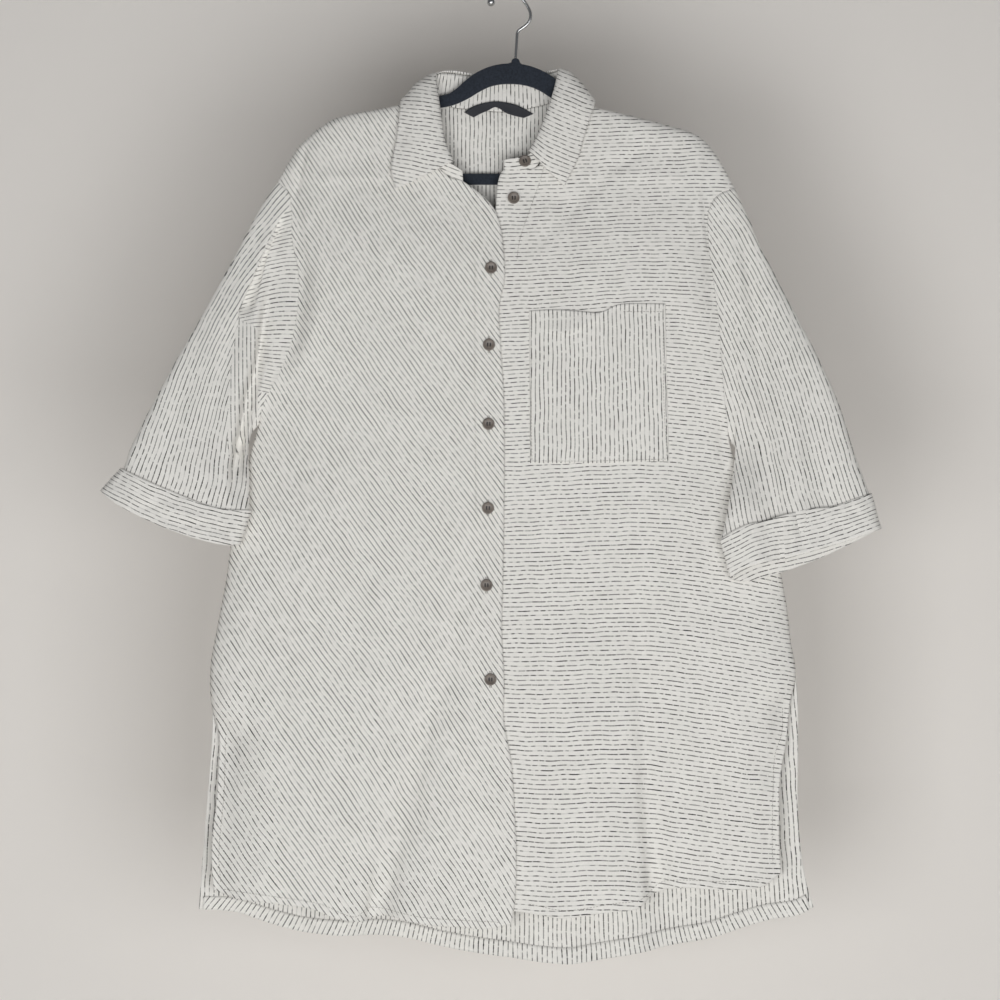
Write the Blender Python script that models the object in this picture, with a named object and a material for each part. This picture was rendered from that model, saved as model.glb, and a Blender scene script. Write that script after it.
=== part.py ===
"""Striped shirt tunic hanging on a slim flocked hanger.

Frame: +X is the wearer's left, -Y is the front, +Z is up. The origin is inside the top of the
hanger's hook, where a rail or a nail carries it. Tables are in millimetres: x across, depth
along Y (negative towards the front) and drop, the distance below the origin.
"""
import math
from bisect import bisect_right

import bmesh
import bpy
import numpy as np

# ---------------------------------------------------------------- driving dimensions, mm
WALL = 1.4              # body and sleeve cloth
COLLAR_WALL = 1.8       # collar and stand, two layers with interlining
CUFF_WALL = 2.0         # turned-up cuff, two layers
FACING_WALL = 1.0
LABEL_WALL = 0.8
SEAM_GAP = 0.3          # between sewn pieces
ARMHOLE_GAP = 0.5
UNDERARM_GAP = 1.3      # the same seam where it turns sharply under the arm
LEAF_GAP = 1.7          # between the stand's top edge and the leaf above it
POCKET_GAP = 0.6
LAY_GAP = 0.4           # between a piece and the panel that it lies on
LAP_SET_BACK = 2.8      # left front lies this far behind the right front
SET_BACK_DROP = 140.0   # the left front starts to go back here, over the reach below
SET_BACK_REACH = 80.0
BAND_MIDDLE = -16.0     # x of the middle of the button band, which stays free of folds
BAND_FLAT_HALF = 30.0
BAND_BLEND = 40.0

SEAM_DEPTH = -2.0       # plane of the side seams
SLIT_PARTING = 2.4      # front and back edges part this far each way at a slit's top
SLIT_DEPTHS = {-1: -13.0, 1: 11.0}  # depth of the front's and the back's edge down a slit
SLIT_SETTLE = 0.8       # share of the slit's length over which its edges reach those depths
SIDE_ROLL = 60.0        # width over which a side rolls round to its seam
UNDERARM_SHARE = 0.5    # depth of the body at the underarm, as a share of its full depth
UNDERARM_REACH = 130.0
OPEN_BLEND = 45.0       # width over which a panel meets its armhole or slit edge
NECK_BLEND = 50.0
NECK_HOLD_ROWS = 9.0    # rows over which the back's columns stay straight below the neck
NECK_HOLD_INSET = 120.0
NECK_ROW_DROPS = (0.0, 1.7, 3.3, 4.5, 3.5)  # extra drop of the back's first rows below the neck
SHOULDER_COLUMNS = 11   # from the neck to the roll at the side, the same in front and behind

BUTTON_WIDTH = 12.0
BUTTON_HEIGHT = 2.4
BUTTON_SIDES = 16
# Half of a button's section: share of its radius, share of its height.
BUTTON_PROFILE = (
    (0.0, 0.0), (0.86, 0.0), (1.0, 0.4), (0.97, 0.8), (0.84, 1.0), (0.66, 0.72), (0.0, 0.64),
)
BUTTON_SEAT = 0.5       # thread shank between a button's back and the cloth

HANGER_THICKNESS = 4.8
HOOK_RADIUS = 1.7
HOOK_BALL_RADIUS = 4.4  # ball at the hook's free end

# Depth of the outer surface at each drop: the right front and the back.
# drop, front, back
BODY_DEPTHS = (
    (88.0, -6.5, 6.5),
    (150.0, -8.5, 7.0),
    (290.0, -20.0, 10.0),
    (530.0, -20.0, 11.0),
    (720.0, -23.0, 12.0),
    (980.0, -27.0, 14.0),
)

# Round an armhole from the shoulder to the underarm: share of the way, share of full depth.
RING = (
    (0.0, 0.0), (0.0, 0.2), (0.006, 0.45), (0.02, 0.72), (0.05, 0.92), (0.12, 1.0),
    (0.25, 1.0), (0.40, 1.0), (0.55, 1.0), (0.69, 1.0), (0.82, 0.93), (0.92, 0.65), (1.0, 0.0),
)
RIDGE_ROWS = 5          # rows over which the shoulder's ridge opens to full depth
# Rows down the neck edge of a front: share of the way from the neck point to its end.
NECK_PLACES = (0.0, 0.02, 0.055, 0.12, 0.28, 0.48, 0.67, 5.0 / 6.0, 1.0)
SIDE_PLACES = (0.10, 0.24, 0.40, 0.55, 0.70, 0.85, 1.0)
SLIT_PLACES = (0.12, 0.32, 0.52, 0.72, 0.92, 1.0)
# Columns beside a side edge: inset on a closed seam, inset on an open edge.
EVEN_LIMIT = 1.15       # greatest stretch of a wall's offset at a crease
SIDE_INSETS = ((24.0, 24.0), (12.0, 15.0), (5.5, 8.5), (2.0, 3.6), (0.0, 0.0))

# Round the neck, from the right front end over the back to the left front end.
# seam x, depth, drop; roll x, depth, drop; leaf edge x, depth, drop
NECK = (
    (-48.0, -13.0, 188.0, -48.5, -15.0, 178.0, -112.0, -15.0, 207.0),
    (-61.0, -13.0, 184.0, -59.0, -17.0, 171.0, -115.5, -15.2, 196.0),
    (-78.0, -12.5, 165.0, -68.0, -17.0, 153.0, -120.0, -15.0, 179.0),
    (-81.0, -11.0, 135.0, -73.0, -15.0, 125.0, -115.0, -14.0, 148.0),
    (-82.0, -8.0, 108.0, -76.5, -9.5, 102.0, -112.0, -12.5, 122.0),
    (-82.0, -4.5, 101.5, -77.3, -5.5, 91.0, -111.0, -10.0, 112.0),
    (-81.0, 0.0, 97.0, -77.0, 0.0, 83.0, -109.5, 0.0, 105.0),
    (-75.0, 5.0, 102.0, -71.0, 5.0, 79.0, -99.0, 11.0, 109.0),
    (-65.0, 7.5, 110.0, -61.0, 8.0, 79.0, -84.0, 14.5, 118.0),
    (-3.0, 8.5, 117.0, -3.0, 9.5, 86.0, -3.0, 15.5, 128.0),
    (43.0, 8.0, 105.5, 40.0, 8.5, 79.0, 63.0, 14.5, 115.0),
    (53.0, 5.5, 93.0, 47.5, 5.5, 77.0, 77.0, 11.0, 108.0),
    (56.0, 0.0, 88.0, 50.0, 0.0, 78.0, 84.5, 0.0, 106.0),
    (55.5, -4.5, 93.5, 48.5, -5.5, 88.0, 83.0, -10.0, 114.0),
    (54.0, -8.0, 101.0, 45.0, -9.5, 101.0, 79.0, -12.5, 124.0),
    (49.0, -11.0, 127.0, 36.0, -14.0, 128.0, 72.0, -13.0, 148.0),
    (38.0, -12.0, 153.0, 26.0, -15.5, 151.0, 65.0, -14.0, 170.0),
    (24.0, -12.5, 174.5, 19.0, -15.5, 161.0, 53.0, -14.5, 193.0),
    (-7.0, -12.5, 176.0, -7.0, -14.0, 167.0, 44.0, -14.5, 206.0),
)
NECK_MIDDLE = -10.0     # x of the middle of the neck
NECK_RIGHT_POINT = 6.0
NECK_LEFT_POINT = 12.0
NECK_LAST = 18.0
HALVINGS = 30           # steps that find a place round the neck
NECK_REACH = 0.9        # half the stretch over which the neck's direction is taken
STAND_CLEAR_SHARE = 0.05  # panels' inner edges lean away from the stand by this share
LEAF_OVER = (9.0, 2.5)  # the leaf's roll bulges out and up by this much
LEAF_FALL = (0.4, 5.0)  # then falls through this share of its width, this far out
STAND_SHARES = (0.0, 0.33, 0.67, 1.0)
LEAF_SHARES = (0.0, 0.12, 0.26, 0.42, 0.60, 0.80, 1.0)
BACK_NECK_PLACES = (6.5, 7.0, 8.0, 8.5, 9.0, 9.5, 10.0, 11.0, 11.5)

# ---------------------------------------------------------------- outlines, x and drop
RIGHT_SHOULDER = (
    (-81.1, 97.3), (-95.0, 104.0), (-109.0, 110.0), (-131.0, 115.0), (-161.0, 120.5),
    (-181.0, 127.0), (-201.0, 142.0), (-211.0, 151.5), (-221.0, 166.0), (-234.0, 188.0),
)
LEFT_SHOULDER = (
    (56.2, 88.3), (69.0, 102.0), (83.0, 113.0), (94.0, 115.5), (129.0, 124.0),
    (169.0, 135.0), (186.0, 141.0), (199.0, 153.0), (209.0, 167.0), (224.0, 194.0),
)
RIGHT_ARMHOLE = (
    (-234.0, 188.0), (-223.0, 199.0), (-220.0, 218.0), (-220.0, 242.0), (-214.0, 269.0),
    (-212.0, 299.0), (-216.0, 332.0), (-223.0, 359.0), (-234.0, 384.0), (-244.0, 402.0),
    (-250.0, 417.0), (-253.0, 432.0),
)
LEFT_ARMHOLE = (
    (224.0, 194.0), (205.0, 203.0), (199.0, 215.0), (197.0, 235.0), (200.0, 272.0),
    (205.0, 300.0), (209.0, 340.0), (212.0, 387.0), (216.0, 424.0), (219.0, 448.0),
)
BACK_ARMHOLE_OUT = 12.0  # the back armhole is cut this much further out at its middle
ARMHOLE_LENGTH = 250.0   # rough size of the armhole, for the direction of its edge
ARMHOLE_HALF = 10.0
ARMHOLE_SIGHT = 0.01    # share of its length either way over which its direction is taken
UNDERARM_FROM = 0.6     # the wider gap under the arm starts at this share of the armhole
RIGHT_SIDE = (
    (-253.0, 432.0), (-252.0, 448.0), (-256.0, 470.0), (-270.0, 510.0), (-280.0, 553.0),
    (-289.0, 610.0),
    (-300.0, 660.0), (-301.0, 687.0), (-299.0, 719.0),
)
LEFT_SIDE = (
    (219.0, 448.0), (217.0, 463.0), (222.0, 488.0), (246.0, 530.0), (263.0, 562.0),
    (273.0, 590.0),
    (279.0, 640.0), (286.0, 679.0), (285.5, 685.0),
)
RIGHT_FRONT_SLIT = (
    (-299.0, 719.0), (-293.0, 737.0), (-294.0, 797.0), (-300.0, 865.0), (-297.0, 897.0),
)
LEFT_FRONT_SLIT = (
    (285.5, 685.0), (280.0, 707.0), (279.0, 735.0), (272.0, 759.0), (269.0, 787.0),
    (268.0, 847.0), (270.0, 880.0),
)
RIGHT_BACK_SLIT = (
    (-299.0, 719.0), (-301.0, 762.0), (-308.0, 842.0), (-311.0, 882.0), (-313.5, 918.0),
)
LEFT_BACK_SLIT = (
    (285.5, 685.0), (288.0, 717.0), (288.0, 807.0), (291.0, 857.0), (297.0, 892.0),
    (304.0, 916.0),
)
RIGHT_BAND_EDGE = (
    (-48.0, 188.0), (-31.0, 192.0), (-19.0, 210.0), (-12.0, 232.0), (-7.0, 262.0),
    (-6.5, 286.0), (-11.5, 308.0), (-9.5, 367.0), (-6.5, 423.0), (-8.0, 585.0),
    (-9.5, 628.0), (-6.5, 678.0), (-7.5, 727.0), (-1.0, 757.0), (5.0, 852.0),
    (4.5, 900.0), (0.0, 930.0),
)
LEFT_BAND_EDGE = (
    (-7.0, 176.0), (-9.0, 185.0), (-13.0, 212.0), (-24.0, 250.0), (-31.0, 290.0),
    (-36.0, 340.0), (-37.0, 500.0), (-37.0, 700.0), (-34.0, 800.0), (-26.0, 920.0),
)
RIGHT_FRONT_HEM = (
    (0.0, 930.0), (-11.0, 935.0), (-51.0, 933.0), (-86.0, 930.0), (-141.0, 921.0),
    (-156.0, 931.0), (-191.0, 916.0), (-236.0, 909.0), (-271.0, 906.0), (-297.0, 897.0),
)
LEFT_FRONT_HEM = (
    (-26.0, 920.0), (3.0, 917.0), (39.0, 923.0), (54.0, 924.0), (104.0, 917.0),
    (129.0, 914.0), (154.0, 896.0), (209.0, 896.0), (249.0, 894.0), (270.0, 880.0),
)
BACK_HEM = (
    (-313.5, 918.0), (-276.0, 921.0), (-246.0, 931.0), (-211.0, 940.0), (-171.0, 944.0),
    (-131.0, 944.0), (-101.0, 948.0), (-71.0, 956.0), (-31.0, 963.0), (19.0, 969.0),
    (54.0, 973.5), (94.0, 968.0), (129.0, 962.0), (159.0, 955.0), (199.0, 948.0),
    (229.0, 938.0), (259.0, 929.0), (289.0, 924.0), (304.0, 916.0),
)

FOLD_PAST_FOOT = 1.15   # a fold keeps growing to this share of its length
# Folds in the body cloth. A positive height stands out from the panel.
# top x, top drop, low x, low drop, half width, height at the top, height at the foot
RIGHT_FRONT_FOLDS = (
    (-40.0, 540.0, -132.0, 925.0, 26.0, 0.0, -9.0),
    (-30.0, 600.0, -88.0, 925.0, 30.0, 0.0, 6.0),
    (-185.0, 640.0, -205.0, 920.0, 34.0, 0.0, 5.0),
    (-186.0, 190.0, -196.0, 420.0, 20.0, 0.0, 3.0),
)
LEFT_FRONT_FOLDS = (
    (134.0, 560.0, 148.0, 910.0, 24.0, 0.0, -9.0),
    (100.0, 600.0, 104.0, 925.0, 30.0, 0.0, 6.0),
    (190.0, 640.0, 205.0, 890.0, 22.0, 0.0, -5.0),
    (60.0, 640.0, 52.0, 925.0, 26.0, 0.0, 3.0),
)
BACK_FOLDS = (
    (-150.0, 480.0, -190.0, 945.0, 34.0, 0.0, -8.0),
    (-60.0, 560.0, -78.0, 955.0, 30.0, 0.0, 6.0),
    (40.0, 420.0, 52.0, 970.0, 34.0, 0.0, -7.0),
    (150.0, 520.0, 170.0, 950.0, 32.0, 0.0, 7.0),
)

# ---------------------------------------------------------------- sleeves, x and drop
RIGHT_SLEEVE_TOP = (
    (-234.0, 188.0), (-247.0, 207.0), (-262.0, 235.0), (-291.0, 289.0), (-333.0, 365.0),
    (-377.0, 448.0), (-388.0, 476.0),
)
RIGHT_SLEEVE_UNDER = (
    (-253.0, 432.0), (-260.0, 447.0), (-262.0, 462.0), (-261.0, 485.0), (-261.0, 517.0),
)
RIGHT_CUFF_TOP = (
    (-388.0, 476.0), (-371.0, 484.0), (-341.0, 497.0), (-311.0, 509.0), (-286.0, 516.0),
    (-261.0, 517.0),
)
RIGHT_CUFF_END = (
    (-409.0, 499.0), (-398.0, 508.0), (-381.0, 518.0), (-351.0, 532.0), (-311.0, 546.0),
    (-285.0, 552.0), (-272.0, 551.0),
)
LEFT_SLEEVE_TOP = (
    (224.0, 194.0), (234.0, 214.0), (244.0, 240.0), (259.0, 271.0), (299.0, 348.0),
    (325.0, 404.0), (342.0, 457.0), (358.0, 501.0),
)
LEFT_SLEEVE_UNDER = (
    (219.0, 448.0), (225.0, 462.0), (221.0, 482.0), (217.0, 507.0), (210.0, 546.0),
)
UNDERARM_TURN = 78.0    # below the underarm the sleeve swings forward over this drop
UNDERARM_LEAD = 4.0     # and starts to swing this far above it
SWING_PACE = 1.05       # near its top edge the sleeve swings forward over its length, at this pace
SWING_ACROSS = (0.45, 0.4)  # share across where one way of swinging blends to the other, over this
SLEEVE_CLEAR = 3.0      # the sleeve stands off the armhole by this much just past its seam
LEFT_CUFF_TOP = (
    (358.0, 501.0), (339.0, 507.0), (324.0, 513.0), (289.0, 517.0), (259.0, 526.0),
    (229.0, 533.0), (210.0, 546.0),
)
LEFT_CUFF_END_FRONT = (
    (368.0, 536.0), (334.0, 548.0), (309.0, 555.0), (269.0, 567.0), (234.0, 574.0),
    (221.0, 584.0),
)
LEFT_CUFF_END_BACK = (
    (368.0, 536.0), (339.0, 551.0), (299.0, 569.0), (254.0, 584.0), (234.0, 588.0),
    (221.0, 585.0),
)
ARMHOLE_DEPTHS = (6.5, 12.0, 9.0)  # at the shoulder, at the underarm in front and behind
SLEEVE_ROWS = (0.0, 0.09, 0.20, 0.32, 0.45, 0.58, 0.71, 0.84, 0.93, 1.0)
CUFF_ROWS = (0.10, 0.4, 0.7, 1.0)
# The deep tuck in the right sleeve: share down the sleeve, share across, depth.
RIGHT_SLEEVE_TUCK = (
    (0.0, 0.16, 0.0),
    (0.12, 0.24, 3.0),
    (0.35, 0.46, 9.0),
    (0.60, 0.66, 10.0),
    (0.80, 0.78, 6.0),
    (1.0, 0.84, 0.0),
)
TUCK_STEP = 0.04        # share across over which the tuck drops, and over which it runs out
TUCK_RUN_OUT = 0.26
TUCK_LEAD = 0.01        # the last point before the tuck's edge
PAST_TUCK = (0.2, 0.42, 0.65, 0.87, 1.0)  # points from the tuck's foot to the under edge
# Soft folds down the left sleeve: share across, half width, depth.
LEFT_SLEEVE_VALLEYS = ((0.33, 0.07, 4.0), (0.66, 0.08, 5.0))
VALLEY_START = 0.5      # share down the sleeve over which they deepen

# ---------------------------------------------------------------- trims
POCKET_TOP = (
    (18.0, 318.0), (44.0, 317.0), (69.0, 318.5), (85.0, 320.0), (94.0, 318.0),
    (102.0, 313.5), (114.0, 311.0), (154.0, 311.0),
)
POCKET_FOOT = ((19.0, 470.0), (88.0, 470.0), (158.0, 468.0))
LABEL_TOP = (
    (-47.0, 118.0), (-41.0, 113.5), (-31.0, 109.5), (-16.0, 107.0), (-1.0, 108.8),
    (9.0, 112.0), (22.5, 119.5),
)
LABEL_FOOT = (
    (-37.5, 123.0), (-31.0, 119.5), (-23.0, 116.0), (-16.0, 112.7), (-11.0, 114.5),
    (-5.0, 118.5), (4.0, 121.5), (13.0, 123.5),
)
LABEL_SEAT_PLACE = 8.1   # place round the neck where the label is closest to the stand
# Buttons down the front: x, drop, and what each is sewn to.
BUTTONS = (
    (14.0, 168.5, "stand"),
    (2.5, 205.0, "left"),
    (-20.0, 275.0, "right"),
    (-22.0, 352.0, "right"),
    (-22.5, 431.0, "right"),
    (-23.0, 515.0, "right"),
    (-24.5, 592.0, "right"),
    (-20.5, 686.0, "right"),
)

# Hanger arms from the right tip to the left tip: x, top drop, lower drop.
HANGER_ARMS = (
    (-190.0, 141.5, 156.0), (-161.0, 127.5, 142.0), (-109.0, 115.5, 129.5),
    (-75.0, 103.0, 115.0), (-62.0, 99.6, 112.4), (-56.0, 95.6, 110.6), (-50.0, 90.4, 108.2),
    (-41.0, 82.6, 103.6), (-31.0, 76.4, 97.4), (-21.0, 72.3, 92.7), (-11.0, 70.0, 90.5),
    (0.0, 69.1, 90.0), (9.0, 69.7, 90.6), (19.0, 71.8, 92.6), (29.0, 75.4, 96.8),
    (39.0, 80.6, 103.2), (50.0, 89.3, 111.0), (60.0, 99.5, 118.5), (83.0, 121.5, 133.0),
    (129.0, 131.5, 145.0), (179.0, 146.5, 161.0),
)
# Outer corners of the tips, down from the arm: x, drop.
RIGHT_TIP = ((-201.0, 152.5), (-206.0, 163.0), (-206.0, 178.0), (-195.0, 191.0))
LEFT_TIP = ((196.0, 160.0), (200.0, 170.0), (200.0, 176.0), (186.0, 191.0))
# Corners of the gap beside the tips, above the bar's top: x, drop.
RIGHT_GAP_END = ((-193.0, 168.0), (-186.0, 180.0))
LEFT_GAP_END = ((183.0, 170.0), (176.0, 180.0))
ARM_STEPS = 60          # points along each edge of the arms
NUB = (4.6, 68.2, 4.3)  # rounded boss under the hook: x and drop of its middle, radius
NUB_STEPS = 10
# Centreline of the hook from its free end over the top to the boss: x, drop.
HOOK_LINE = (
    (-20.0, 7.6), (-17.6, 3.4), (-12.0, 0.0), (0.0, -1.7), (8.0, 1.5), (14.0, 8.0), (18.8, 16.5),
    (19.6, 22.5), (17.2, 28.8), (11.5, 33.6), (7.4, 36.6), (6.2, 40.0), (5.6, 50.0), (4.6, 63.6),
)
HOOK_STEPS = 56
# Sections through the ball, along the wire: place and radius, as shares of its radius.
BALL_RINGS = (
    (-0.98, 0.2), (-0.8, 0.6), (-0.45, 0.89), (0.0, 1.0), (0.45, 0.89), (0.8, 0.6), (0.92, 0.39),
)

COLOURS = {
    "cloth": ((0.70, 0.69, 0.66, 1.0), 0.85, 0.0),
    "button": ((0.20, 0.17, 0.15, 1.0), 0.40, 0.0),
    "label": ((0.02, 0.02, 0.025, 1.0), 0.70, 0.0),
    "flock": ((0.025, 0.029, 0.045, 1.0), 0.95, 0.0),
    "chrome": ((0.62, 0.62, 0.62, 1.0), 0.15, 1.0),
}


# ---------------------------------------------------------------- curves and blends
def mix(a, b, share):
    return a + (b - a) * share


def ease(share):
    share = min(1.0, max(0.0, share))
    return share * share * (3.0 - 2.0 * share)


def roll(inset, radius):
    """Share of full depth at this inset from a closed edge, on a quarter ellipse."""
    rest = 1.0 - min(1.0, inset / radius)
    return math.sqrt(1.0 - rest * rest)


def hermite(a, b, slope_a, slope_b, share):
    s2 = share * share
    s3 = s2 * share
    return (
        a * (2 * s3 - 3 * s2 + 1)
        + slope_a * (s3 - 2 * s2 + share)
        + b * (3 * s2 - 2 * s3)
        + slope_b * (s3 - s2)
    )


def unit(vector):
    return vector / np.linalg.norm(vector)


def bezier(a, b, c, d, share):
    rest = 1.0 - share
    return a * rest**3 + b * 3 * rest**2 * share + c * 3 * rest * share**2 + d * share**3


def along(rows):
    """A smooth edge through the rows, as a function of the share of its length."""
    points = [np.array(row) for row in rows]
    reach = [0.0]
    for a, b in zip(points, points[1:]):
        reach.append(reach[-1] + float(np.linalg.norm(b - a)))
    last = len(points) - 1
    slopes = []
    for i in range(last + 1):
        before, after = max(i - 1, 0), min(i + 1, last)
        slopes.append((points[after] - points[before]) / (reach[after] - reach[before]))

    def at(share):
        length = min(1.0, max(0.0, share)) * reach[-1]
        i = min(max(bisect_right(reach, length) - 1, 0), last - 1)
        step = reach[i + 1] - reach[i]
        local = (length - reach[i]) / step
        return hermite(points[i], points[i + 1], slopes[i] * step, slopes[i + 1] * step, local)

    return at


def table_at(rows, key):
    """Values of a table whose first column rises, eased from row to row."""
    rows = [np.array(row) for row in rows]
    if key <= rows[0][0]:
        return rows[0][1:]
    for low, high in zip(rows, rows[1:]):
        if key <= high[0]:
            share = (key - low[0]) / (high[0] - low[0])
            return mix(low[1:], high[1:], ease(share))
    return rows[-1][1:]


def neck_at(place):
    """Seam, roll and leaf edge of the collar at a place round the neck."""
    rows = [np.array(row) for row in NECK]
    last = len(rows) - 1
    i = min(int(place), last - 1)
    slope_a = (rows[i + 1] - rows[max(i - 1, 0)]) / 2.0
    slope_b = (rows[min(i + 2, last)] - rows[i]) / 2.0
    values = hermite(rows[i], rows[i + 1], slope_a, slope_b, place - i)
    return values[0:3], values[3:6], values[6:9]


def neck_frame(place):
    """Directions round the neck: up from its seam and out, and up square to its roll."""
    seam, roll_line, _ = neck_at(place)
    before = neck_at(max(place - NECK_REACH, 0.0))[0]
    after = neck_at(min(place + NECK_REACH, NECK_LAST))[0]
    ahead = unit(after - before)
    rise = unit(roll_line - seam)
    outward = unit(np.cross(ahead, rise))
    lift = np.cross(outward, ahead)
    return rise, outward, lift


def below_stand(place):
    """A panel's neck edge, the seam's gap below the stand."""
    rise, _, _ = neck_frame(place)
    return neck_at(place)[0] - rise * SEAM_GAP


# ---------------------------------------------------------------- body panels
def fold_height(folds, x, drop):
    """How far the folds push the cloth out here."""
    total = 0.0
    for top_x, top_drop, low_x, low_drop, width, top_height, low_height in folds:
        share = (drop - top_drop) / (low_drop - top_drop)
        if share <= 0.0:
            continue
        share = min(share, FOLD_PAST_FOOT)
        off = (x - mix(top_x, low_x, share)) / width
        total += mix(top_height, low_height, share) * math.exp(-off * off)
    return total


def front_depth(side, x, drop):
    front, _ = table_at(BODY_DEPTHS, drop)
    depth = front + side["set_back"] * ease((drop - SET_BACK_DROP) / SET_BACK_REACH)
    clear_of_band = ease((abs(x - BAND_MIDDLE) - BAND_FLAT_HALF) / BAND_BLEND)
    return depth - fold_height(side["front_folds"], x, drop) * clear_of_band


def back_depth(x, drop):
    _, back = table_at(BODY_DEPTHS, drop)
    return back + fold_height(BACK_FOLDS, x, drop)


RIGHT = {
    "sign": -1.0,
    "set_back": 0.0,
    "neck_point": NECK_RIGHT_POINT,
    "neck_end": 0.0,
    "shoulder": along(RIGHT_SHOULDER),
    "armhole": along(RIGHT_ARMHOLE),
    "side": along(RIGHT_SIDE),
    "front_slit": along(RIGHT_FRONT_SLIT),
    "back_slit": along(RIGHT_BACK_SLIT),
    "band_edge": along(RIGHT_BAND_EDGE),
    "front_hem": along(RIGHT_FRONT_HEM),
    "front_folds": RIGHT_FRONT_FOLDS,
    "sleeve_top": along(RIGHT_SLEEVE_TOP),
    "sleeve_under": along(RIGHT_SLEEVE_UNDER),
    "cuff_top": along(RIGHT_CUFF_TOP),
    "cuff_end_front": along(RIGHT_CUFF_END),
    "cuff_end_back": along(RIGHT_CUFF_END),
    "cuff_depths": (-12.0, -25.0, 9.0, 7.0),
}
LEFT = {
    "sign": 1.0,
    "set_back": LAP_SET_BACK,
    "neck_point": NECK_LEFT_POINT,
    "neck_end": NECK_LAST,
    "shoulder": along(LEFT_SHOULDER),
    "armhole": along(LEFT_ARMHOLE),
    "side": along(LEFT_SIDE),
    "front_slit": along(LEFT_FRONT_SLIT),
    "back_slit": along(LEFT_BACK_SLIT),
    "band_edge": along(LEFT_BAND_EDGE),
    "front_hem": along(LEFT_FRONT_HEM),
    "front_folds": LEFT_FRONT_FOLDS,
    "sleeve_top": along(LEFT_SLEEVE_TOP),
    "sleeve_under": along(LEFT_SLEEVE_UNDER),
    "cuff_top": along(LEFT_CUFF_TOP),
    "cuff_end_front": along(LEFT_CUFF_END_FRONT),
    "cuff_end_back": along(LEFT_CUFF_END_BACK),
    "cuff_depths": (-14.0, -31.0, 10.0, 7.0),
}


def armhole_frame(side, place):
    """Directions along the armhole's edge and out of it towards the sleeve, x and drop."""
    before = side["armhole"](max(0.0, place - ARMHOLE_SIGHT))
    after = side["armhole"](min(1.0, place + ARMHOLE_SIGHT))
    run = unit(after - before)
    return run, np.array((run[1], -run[0])) * side["sign"]


def armhole_inward(side, face, k):
    """Direction of the cloth's inner face at a point of the armhole seam."""
    places = [(place * ARMHOLE_LENGTH, face * ARMHOLE_HALF * share) for place, share in RING]
    if k == 0:
        along_edge, deep = 1.0, 0.0
    elif k == len(RING) - 1:
        along_edge, deep = -1.0, 0.0
    else:
        step = np.array(places[k + 1]) - np.array(places[k - 1])
        along_edge, deep = unit(np.array((-step[1], step[0]))) * (1.0 if face > 0 else -1.0)
        if deep * face > 0.0:
            along_edge, deep = -along_edge, -deep
    run, _ = armhole_frame(side, RING[k][0])
    return np.array((run[0] * along_edge, deep, run[1] * along_edge))


def armhole_point(side, face, place, share, gap_side):
    """A point of the armhole seam: face is -1 in front and 1 behind.

    gap_side is -1 for the body's edge and 1 for the sleeve's, half the gap either way.
    """
    x, drop = side["armhole"](place)
    full = mix(ARMHOLE_DEPTHS[0], ARMHOLE_DEPTHS[1 if face < 0 else 2], place)
    if face > 0:
        x += side["sign"] * BACK_ARMHOLE_OUT * math.sin(math.pi * place)
    _, outward = armhole_frame(side, place)
    gap = mix(ARMHOLE_GAP, UNDERARM_GAP, ease((place - UNDERARM_FROM) / (1.0 - UNDERARM_FROM)))
    x += outward[0] * gap_side * gap / 2.0
    drop += outward[1] * gap_side * gap / 2.0
    middle = SEAM_DEPTH * place
    return np.array((x, middle + (face * full - middle) * share, drop))


def side_edge(side, face):
    """Rows down a panel's side: point, whether the seam is closed there."""
    rows = [(armhole_point(side, face, place, share, -1), 0.0) for place, share in RING]
    rows[-1] = (rows[-1][0], 1.0)
    for place in SIDE_PLACES:
        x, drop = side["side"](place)
        rows.append((np.array((x, SEAM_DEPTH, drop)), 1.0))
    slit = side["front_slit"] if face < 0 else side["back_slit"]
    for place in SLIT_PLACES:
        x, drop = slit(place)
        depth = mix(SEAM_DEPTH + face * SLIT_PARTING, SLIT_DEPTHS[face], ease(place / SLIT_SETTLE))
        rows.append((np.array((x, depth, drop)), 0.0))
    return rows


def thinned(flat, point, underarm):
    """The body is thin round the underarm and fills out away from it."""
    far = math.hypot(point[0] - underarm[0], point[1] - underarm[1])
    return flat * mix(UNDERARM_SHARE, 1.0, ease(far / UNDERARM_REACH))


def body_depth(flat, edge_depth, closed, inset):
    """Depth near a side edge: rolled to a closed seam, or eased to an open edge."""
    rolled = SEAM_DEPTH + (flat - SEAM_DEPTH) * roll(inset, SIDE_ROLL)
    open_depth = mix(edge_depth, flat, ease(inset / OPEN_BLEND))
    return mix(open_depth, rolled, closed)


def row_columns(width, closed, inner_columns):
    """Shares across a row from the middle edge to the side edge, with their insets."""
    insets = [mix(free, seam, closed) for seam, free in SIDE_INSETS]
    first = 1.0 - insets[0] / width
    columns = [first * i / inner_columns for i in range(inner_columns)]
    return columns + [1.0 - inset / width for inset in insets]


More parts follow.
